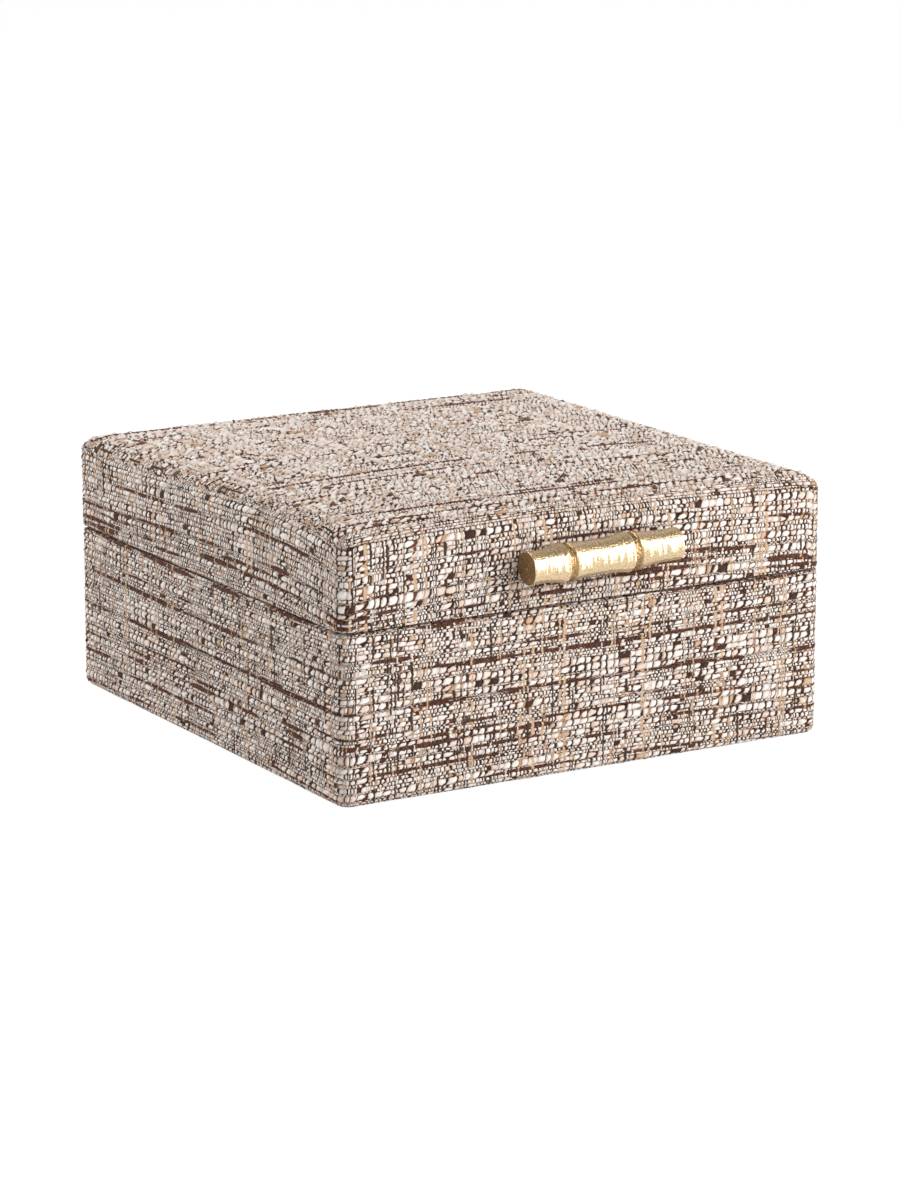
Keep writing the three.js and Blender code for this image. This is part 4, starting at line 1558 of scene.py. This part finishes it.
        # The pebbles are drawn flatter towards the panel's edges
        inside = np.minimum(np.minimum(across, 1 - across) * columns, np.minimum(up, 1 - up) * wefts)
        hem = smoothstep(inside, 0, self.hem_yarns)
        heights = heights * (self.hem_relief + (1 - self.hem_relief) * hem)
        crease = self.crown.crease_depth
        for edge, depth in enumerate(self.crown.crease_rows):
            heights[edge] -= depth * crease(Wall.FRONT, 2 * across[edge] - 1)
            heights[-1 - edge] -= depth * crease(Wall.BACK, 2 * across[-1 - edge] - 1)
            heights[:, edge] -= depth * crease(Wall.LEFT, 2 * up[:, edge] - 1)
            heights[:, -1 - edge] -= depth * crease(Wall.RIGHT, 2 * up[:, -1 - edge] - 1)
        places = places + normals * (heights * self.weave.relief)[..., None]
        bm = self.weave.cloth("lid_padded_top", places, slub, bulk, closed=False)
        rim, drawn = extrude(bm, [edge for edge in bm.edges if edge.is_boundary])
        for vert in drawn:
            flat = Vector((vert.co.x, vert.co.y, 0))
            vert.co = flat - flat.normalized() * self.tuck
            vert.co.z = self.base
        bmesh.ops.edgeloop_fill(bm, edges=rim)
        bmesh.ops.recalc_face_normals(bm, faces=bm.faces)
        piece = link_piece(mesh_from(bm, "lid_padded_top"), Side.LID, tweed)
        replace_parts(piece, "lid_top_cover", "lid_foam_pad")
        return piece


@dataclass(frozen=True)
class Lining:
    """Velvet-covered cards that line the base and the lid, in mm."""

    soft: float = 0.55

    def build(self, velvet: bpy.types.Material) -> None:
        """Builds every card in place of its CAD solid, with soft edges."""
        for side in Side:
            places = ["floor" if side is Side.BASE else "top"] + [wall.value for wall in Wall]
            for place in places:
                node = f"{side.value}_lining_{place}"
                low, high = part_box(node)
                bm = bmesh.new()
                soften(bm, block(bm, low / MM, high / MM), self.soft, 4)
                piece = link_piece(mesh_from(bm, f"{node}_card"), side, velvet)
                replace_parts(piece, node)


@dataclass(frozen=True)
class FeltPad:
    """The felt pad under the base, in mm."""

    soft: float = 0.5
    corner: float = 3.0

    def build(self, felt: bpy.types.Material) -> None:
        """Builds the pad in place of its CAD solid, with its corners and edges softened."""
        low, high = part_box("base_pad")
        bm = bmesh.new()
        edges = block(bm, low / MM, high / MM)
        soften(bm, [e for e in edges if abs(e.verts[0].co.z - e.verts[1].co.z) > 0.1], self.corner, 6)
        level = [e for e in bm.edges if abs(e.verts[0].co.z - e.verts[1].co.z) < 1e-6]
        soften(bm, level, self.soft, 3)
        piece = link_piece(mesh_from(bm, "base_felt_pad"), Side.BASE, felt)
        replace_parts(piece, "base_pad")


@dataclass(frozen=True)
class BambooPull:
    """The cast bamboo bar with its two posts, in mm."""

    y: float = -109.75
    z: float = 79.8
    stems: Sizes = (14.1, 24.3, 18.7)
    starts: Sizes = (6.1, 7.0, 7.05)
    ends: Sizes = (7.25, 7.25, 5.9)
    waists: Sizes = (0.7, 0.95, 0.6)
    tilt: float = 1.7
    groove: float = 2.4
    groove_radius: float = 6.05
    groove_rise: float = 0.3
    lip: float = 0.25
    post_spacing: float = 32.0
    post_radius: float = 3.0
    post_neck: Pair = (2.6, 2.75)
    post_plain: float = 5.2
    post_foot: Pair = (1.1, 0.5)
    post_end: float = -102.3
    post_segments: int = 48
    steps: int = 360
    cap_rings: int = 14
    segments: int = 144
    flat_low: float = -18.0
    flat_high: float = 34.0
    flatness: float = 0.6
    grain: float = 0.034
    raw_grain: float = 0.17
    cap_grain: float = 0.05
    file: float = 0.034
    # Each texture's size along the bar and round it, and where on its random plane it starts
    textures: tuple[Sizes, Sizes, Sizes] = ((0.55, 0.55, 40), (0.95, 0.95, 90), (0.5, 4, 20))
    texture_turn: float = 60.0
    seed: int = 71

    @property
    def length(self) -> float:
        """The bar's whole length."""
        return sum(self.stems) + 2 * self.groove

    def profile(self, along: np.ndarray) -> tuple[np.ndarray, np.ndarray]:
        """The bar's shape at distances from its left end.

        Args:
            along: distances in mm.

        Returns:
            Radii in mm, and how raw the casting is at each distance.
        """
        radius, raw = np.full(along.shape, self.groove_radius), np.zeros(along.shape)
        begin = 0.0
        stems = zip(self.stems, self.starts, self.ends, self.waists)
        for number, (stem, start, end, waist) in enumerate(stems):
            t = (along - begin) / stem
            body = start + (end - start) * t - waist * 4 * t * (1 - t)
            near = np.minimum(along - begin, begin + stem - along)
            short = np.clip(self.lip - near, 0, self.lip)
            body = body - self.lip + np.sqrt(np.maximum(self.lip**2 - short**2, 0))
            radius = np.where((t >= 0) & (t <= 1), body, radius)
            if number < len(self.stems) - 1:
                u = (along - begin - stem) / self.groove
                floor = self.groove_radius + self.groove_rise * smoothstep(u, 0.2, 1.0)
                radius = np.where((u > 0) & (u < 1), floor, radius)
                raw = np.maximum(raw, smoothstep(u, -0.02, 0.1) * (1 - smoothstep(u, 1.0, 1.5)))
            begin += stem + self.groove
        return radius, raw

    def build(self, brass: bpy.types.Material) -> None:
        """Builds the bar and its posts in place of the CAD bar."""
        left = -self.length / 2
        along = np.linspace(0.0, self.length, self.steps)
        radius, _ = self.profile(along)
        cap = np.linspace(0.0, 1.0, self.cap_rings, endpoint=False)
        along = np.concatenate([np.zeros(cap.size), along, np.full(cap.size, self.length)])
        radius = np.concatenate([cap * radius[0], radius, cap[::-1] * radius[-1]])
        bm = bmesh.new()
        centre = (0, self.y, self.z)
        line = [(left + a, self.y, self.z + r) for a, r in zip(along, radius)]
        turn(bm, line, centre, (1, 0, 0), self.segments)
        self.roughen(bm, left)
        # The bar hangs a little askew on its posts, as photographed
        askew = Matrix.Rotation(-math.radians(self.tilt), 3, "Y")
        bmesh.ops.rotate(bm, cent=centre, matrix=askew, verts=bm.verts)
        bar = link_piece(mesh_from(bm, "bamboo_pull_bar"), Side.LID, brass)
        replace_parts(bar, "handle_bar")
        for label, x in (("left", -self.post_spacing / 2), ("right", self.post_spacing / 2)):
            self.post(f"bamboo_pull_post_{label}", x, brass)

    def roughen(self, bm: bmesh.types.BMesh, left: float) -> None:
        """Gives the bar its casting grain and its file marks.

        Args:
            bm: the bar, in mm.
            left: the x of its left end.
        """
        co = np.array([v.co for v in bm.verts])
        x, out_y, out_z = co[:, 0] - left, co[:, 1] - self.y, co[:, 2] - self.z
        reach = np.hypot(out_y, out_z)
        radius, raw = self.profile(x)
        # The filed flat faces the front, a little upwards
        middle = math.radians((self.flat_low + self.flat_high) / 2)
        half = math.radians((self.flat_high - self.flat_low) / 2)
        facing = np.arctan2(out_z, -out_y) - middle
        chord = radius * math.cos(half) / np.maximum(np.cos(facing), math.cos(half))
        filed = (chord - radius) * self.flatness * (1 - raw)
        wide = np.arctan2(out_z, out_y) * max(self.ends)
        grain, lumps, marks = (
            value_noise(x / length + start, wide / width + self.texture_turn, self.seed + number)
            for number, (length, width, start) in enumerate(self.textures)
        )
        push = self.grain * grain + self.raw_grain * lumps * raw + self.file * marks * (1 - raw) + filed
        on_cap = reach < np.where(x < self.length / 2, self.starts[0], self.ends[-1]) - self.lip
        on_cap &= (x < 0.01) | (x > self.length - 0.01)
        layer = bm.verts.layers.float.new(RAW_ATTRIBUTE)
        for vert, out, rough, flat, bumps, r in zip(bm.verts, push, raw, on_cap, lumps, reach):
            vert[layer] = 1.0 if flat else rough
            if flat:
                vert.co.x += self.cap_grain * bumps
            else:
                vert.co.y += (vert.co.y - self.y) / r * out
                vert.co.z += (vert.co.z - self.z) / r * out

    def post(self, name: str, x: float, brass: bpy.types.Material) -> None:
        """Builds one post between the bar and the cloth, with a small foot.

        Args:
            name: the piece's name.
            x: where it stands along the bar.
            brass: its material.
        """
        thin, thick = self.post_neck
        flare, foot = (self.post_end - height for height in self.post_foot)
        profile = [(self.y, 0.0), (self.y, thin), (self.y + self.post_plain, thin), (flare, thick)]
        profile += [(foot, self.post_radius), (self.post_end, self.post_radius), (self.post_end, 0.0)]
        bm = bmesh.new()
        line = [(x, y, self.z + radius) for y, radius in profile]
        turn(bm, line, (x, 0, self.z), (0, 1, 0), self.post_segments)
        link_piece(mesh_from(bm, name), Side.LID, brass)


@dataclass(frozen=True)
class Studio:
    """Floor, light and camera. Lengths in metres, and a lamp's power in watts."""

    lens: float = 126.0
    sensor: float = 36.0
    eye: Sizes = (-0.774556, -1.309240, 0.406849)
    turn: float = -30.7192
    tilt: float = 13.513
    aim: Sizes = (0.0, 0.0, 0.05)
    floor_size: float = 30.0
    floor_glow: float = 0.95
    floor_pale: str = "#E6E4E1"
    floor_grey: str = "#6E6E6E"
    sky_low: float = 0.42
    sky_high: float = 0.24
    sky_seen: float = 0.48
    lamps: tuple[tuple[str, Sizes, Pair, float], ...] = (
        ("front_soft_box", (0.52, -0.86, 0.5), (1.2, 1.0), 13.2),
        ("top_soft_box", (-0.66, 0.78, 0.8), (1.0, 1.0), 13.0),
        ("back_soft_box", (0.9, 1.1, 0.8), (1.1, 1.1), 2.0),
    )

    def camera(self) -> None:
        """Stands the camera where the photograph was taken from."""
        data = bpy.data.cameras.new("photo_camera")
        data.lens, data.sensor_width = self.lens, self.sensor
        data.clip_start, data.clip_end = 0.01, 100.0
        camera = bpy.data.objects.new("photo_camera", data)
        a, e = math.radians(self.turn), math.radians(self.tilt)
        right = Vector((math.cos(a), math.sin(a), 0))
        back = Vector((math.sin(a) * math.cos(e), -math.cos(a) * math.cos(e), math.sin(e)))
        axes = Matrix((right, back.cross(right), back)).transposed().to_4x4()
        camera.matrix_world = Matrix.Translation(self.eye) @ axes
        bpy.context.scene.collection.objects.link(camera)
        bpy.context.scene.camera = camera

    def seen(self, add: Adder) -> bpy.types.NodeSocket:
        """Tells the rays of the camera, of shiny metal and of glass from those that only light."""
        seen = add("LightPath", out="Is Camera Ray")
        path = seen.node
        for name in ("Is Glossy Ray", "Is Transmission Ray"):
            seen = add("Math MAXIMUM", seen, path.outputs[name])
        return seen

    def floor(self) -> None:
        """Lays the pale floor, which shows white to the camera and to metal, and keeps the shadow."""
        made, add = new_material("pale_studio_floor")
        plain = add("BsdfDiffuse", linear(self.floor_pale))
        shaded = add("BsdfDiffuse", linear(self.floor_grey))
        glow = add("Emission", (1, 1, 1, 1), self.floor_glow)
        white = add("AddShader", shaded, glow)
        shader = add("MixShader", self.seen(add), plain, white)
        add("OutputMaterial", shader)
        bm = bmesh.new()
        bmesh.ops.create_grid(bm, x_segments=1, y_segments=1, size=self.floor_size / 2)
        mesh = bpy.data.meshes.new("studio_floor")
        bm.to_mesh(mesh)
        bm.free()
        mesh.materials.append(made)
        floor = bpy.data.objects.new("studio_floor", mesh)
        bpy.context.scene.collection.objects.link(floor)

    def sky(self) -> None:
        """Makes the room's soft light, paler towards the horizon and white where the camera sees it."""
        world = bpy.data.worlds.new("soft_room")
        bpy.context.scene.world = world
        world.use_nodes = True
        world.node_tree.nodes.clear()
        add = partial(add_node, world.node_tree)
        place = add("TexCoord", out="Generated")
        rise = add("SeparateXYZ", place, out="Z")
        level = add("MapRange", rise, 0.1, 0.85, self.sky_low, self.sky_high, **EASED)
        shown = add("MapRange", rise, 0.3, 0.75, 1.0, self.sky_seen)
        strength = add("Mix", self.seen(add), A_Float=level, B_Float=shown)
        light = add("Background", (1, 1, 1, 1), strength)
        add("OutputWorld", light)

    def lamp(self, name: str, place: Sizes, size: Pair, power: float) -> None:
        """Hangs a soft box that faces the object.

        Args:
            name: the lamp's name.
            place: where it hangs.
            size: its width and height.
            power: its power in watts.
        """
        data = bpy.data.lights.new(name, "AREA")
        data.shape, data.size, data.size_y, data.energy = "RECTANGLE", *size, power
        lamp = bpy.data.objects.new(name, data)
        facing = (Vector(self.aim) - Vector(place)).to_track_quat("-Z", "Y")
        lamp.matrix_world = Matrix.Translation(place) @ facing.to_matrix().to_4x4()
        lamp.visible_camera = False
        bpy.context.scene.collection.objects.link(lamp)

    def build(self) -> None:
        """Sets up the camera, the floor and the light."""
        bpy.context.scene.view_settings.view_transform = "Standard"
        self.camera()
        self.floor()
        self.sky()
        for lamp in self.lamps:
            self.lamp(*lamp)


def dress_cad(boards: bpy.types.Material, steel: bpy.types.Material) -> None:
    """Gives the CAD nodes that stay their finishes.

    Args:
        boards: the fibreboard material.
        steel: the screws' material.
    """
    for name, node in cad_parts.items():
        finish = steel if name.startswith("handle_screw") else boards
        if finish is steel or name.endswith(("_wall", "_panel")):
            node.data.materials.clear()
            node.data.materials.append(finish)


def main() -> None:
    """Builds the box's pieces in order."""
    logging.basicConfig(level=logging.INFO, format="%(name)s %(message)s")
    Studio().build()
    tweed, velvet = Tweed().material(), Velvet().material()
    hinge_brass = RolledMetal("rolled_brass", "#D8BC84", "#B99A60", (0.25, 0.38)).material()
    steel = RolledMetal("zinc_plated_steel", "#C6C5C2", "#A9A8A6", (0.3, 0.45)).material()
    crown, hinges = Crown(), StopHinges()
    # The top's copy of the tweed, partly painted shade: tanner pebbles and a darker, wider painted shade at
    # their edges make the top look shaded; its gaps, warps and lean are its own.
    top_tweed = Tweed(
        "slub_tweed_cotton_drawn_flat",
        gap=("#33201A", "#6E4A38", "#B08E74"),
        edge="#B79E8C",
        shade_reach=0.55,
        float_columns=(0.84, 0.9),
        pebbles=(
            (0.0, "#6E5140"),
            (0.015, "#CDAA8C"),
            (0.045, "#E4D0C1"),
            (0.24, "#EEE0D6"),
            (0.46, "#F4EAE3"),
            (0.76, "#F7F2EE"),
        ),
        slant=0.4,
        wander=0.4,
        erosion=0.45,
        bump_mm=0.55,
        warps=(
            (0.0, "#46352C", 0.28, 1.0),
            (0.18, "#F3EAE4", 0.0, 0.8),
            (0.3, "#F3EAE4", 0.0, 1.0),
            (0.58, "#EFE4DC", 0.14, 1.0),
            (0.71, "#CBA685", 0.2, 1.0),
            (0.78, "#4E382D", 0.16, 1.0),
        ),
    )
    top_weave = Weave(
        weft_pitch=1.5, bulky=2.0, bulky_share=0.46, bulky_least=1.0, bulky_rise=2.6, long_swell=0.35,
        relief=0.34, dark_share=0.24, dark_rise=1.0, steps=2, pebble_spread=0.5,
    )
    base_weave = Weave(dark_share=0.52, bulky_share=0.45, bulky_least=1.15)
    PaddedTop(crown, top_weave).build(top_tweed.material())
    Wrap(Side.BASE, crown, hinges, base_weave, seed=9).build(tweed)
    Wrap(Side.LID, crown, hinges, Weave(dark_share=0.64), seed=89).build(tweed)
    Lining().build(velvet)
    FeltPad().build(Felt().material())
    BambooPull().build(CastBrass().material())
    hinges.build(hinge_brass)
    dress_cad(Fibreboard().material(), steel)


if __name__ == "__main__":
    main()
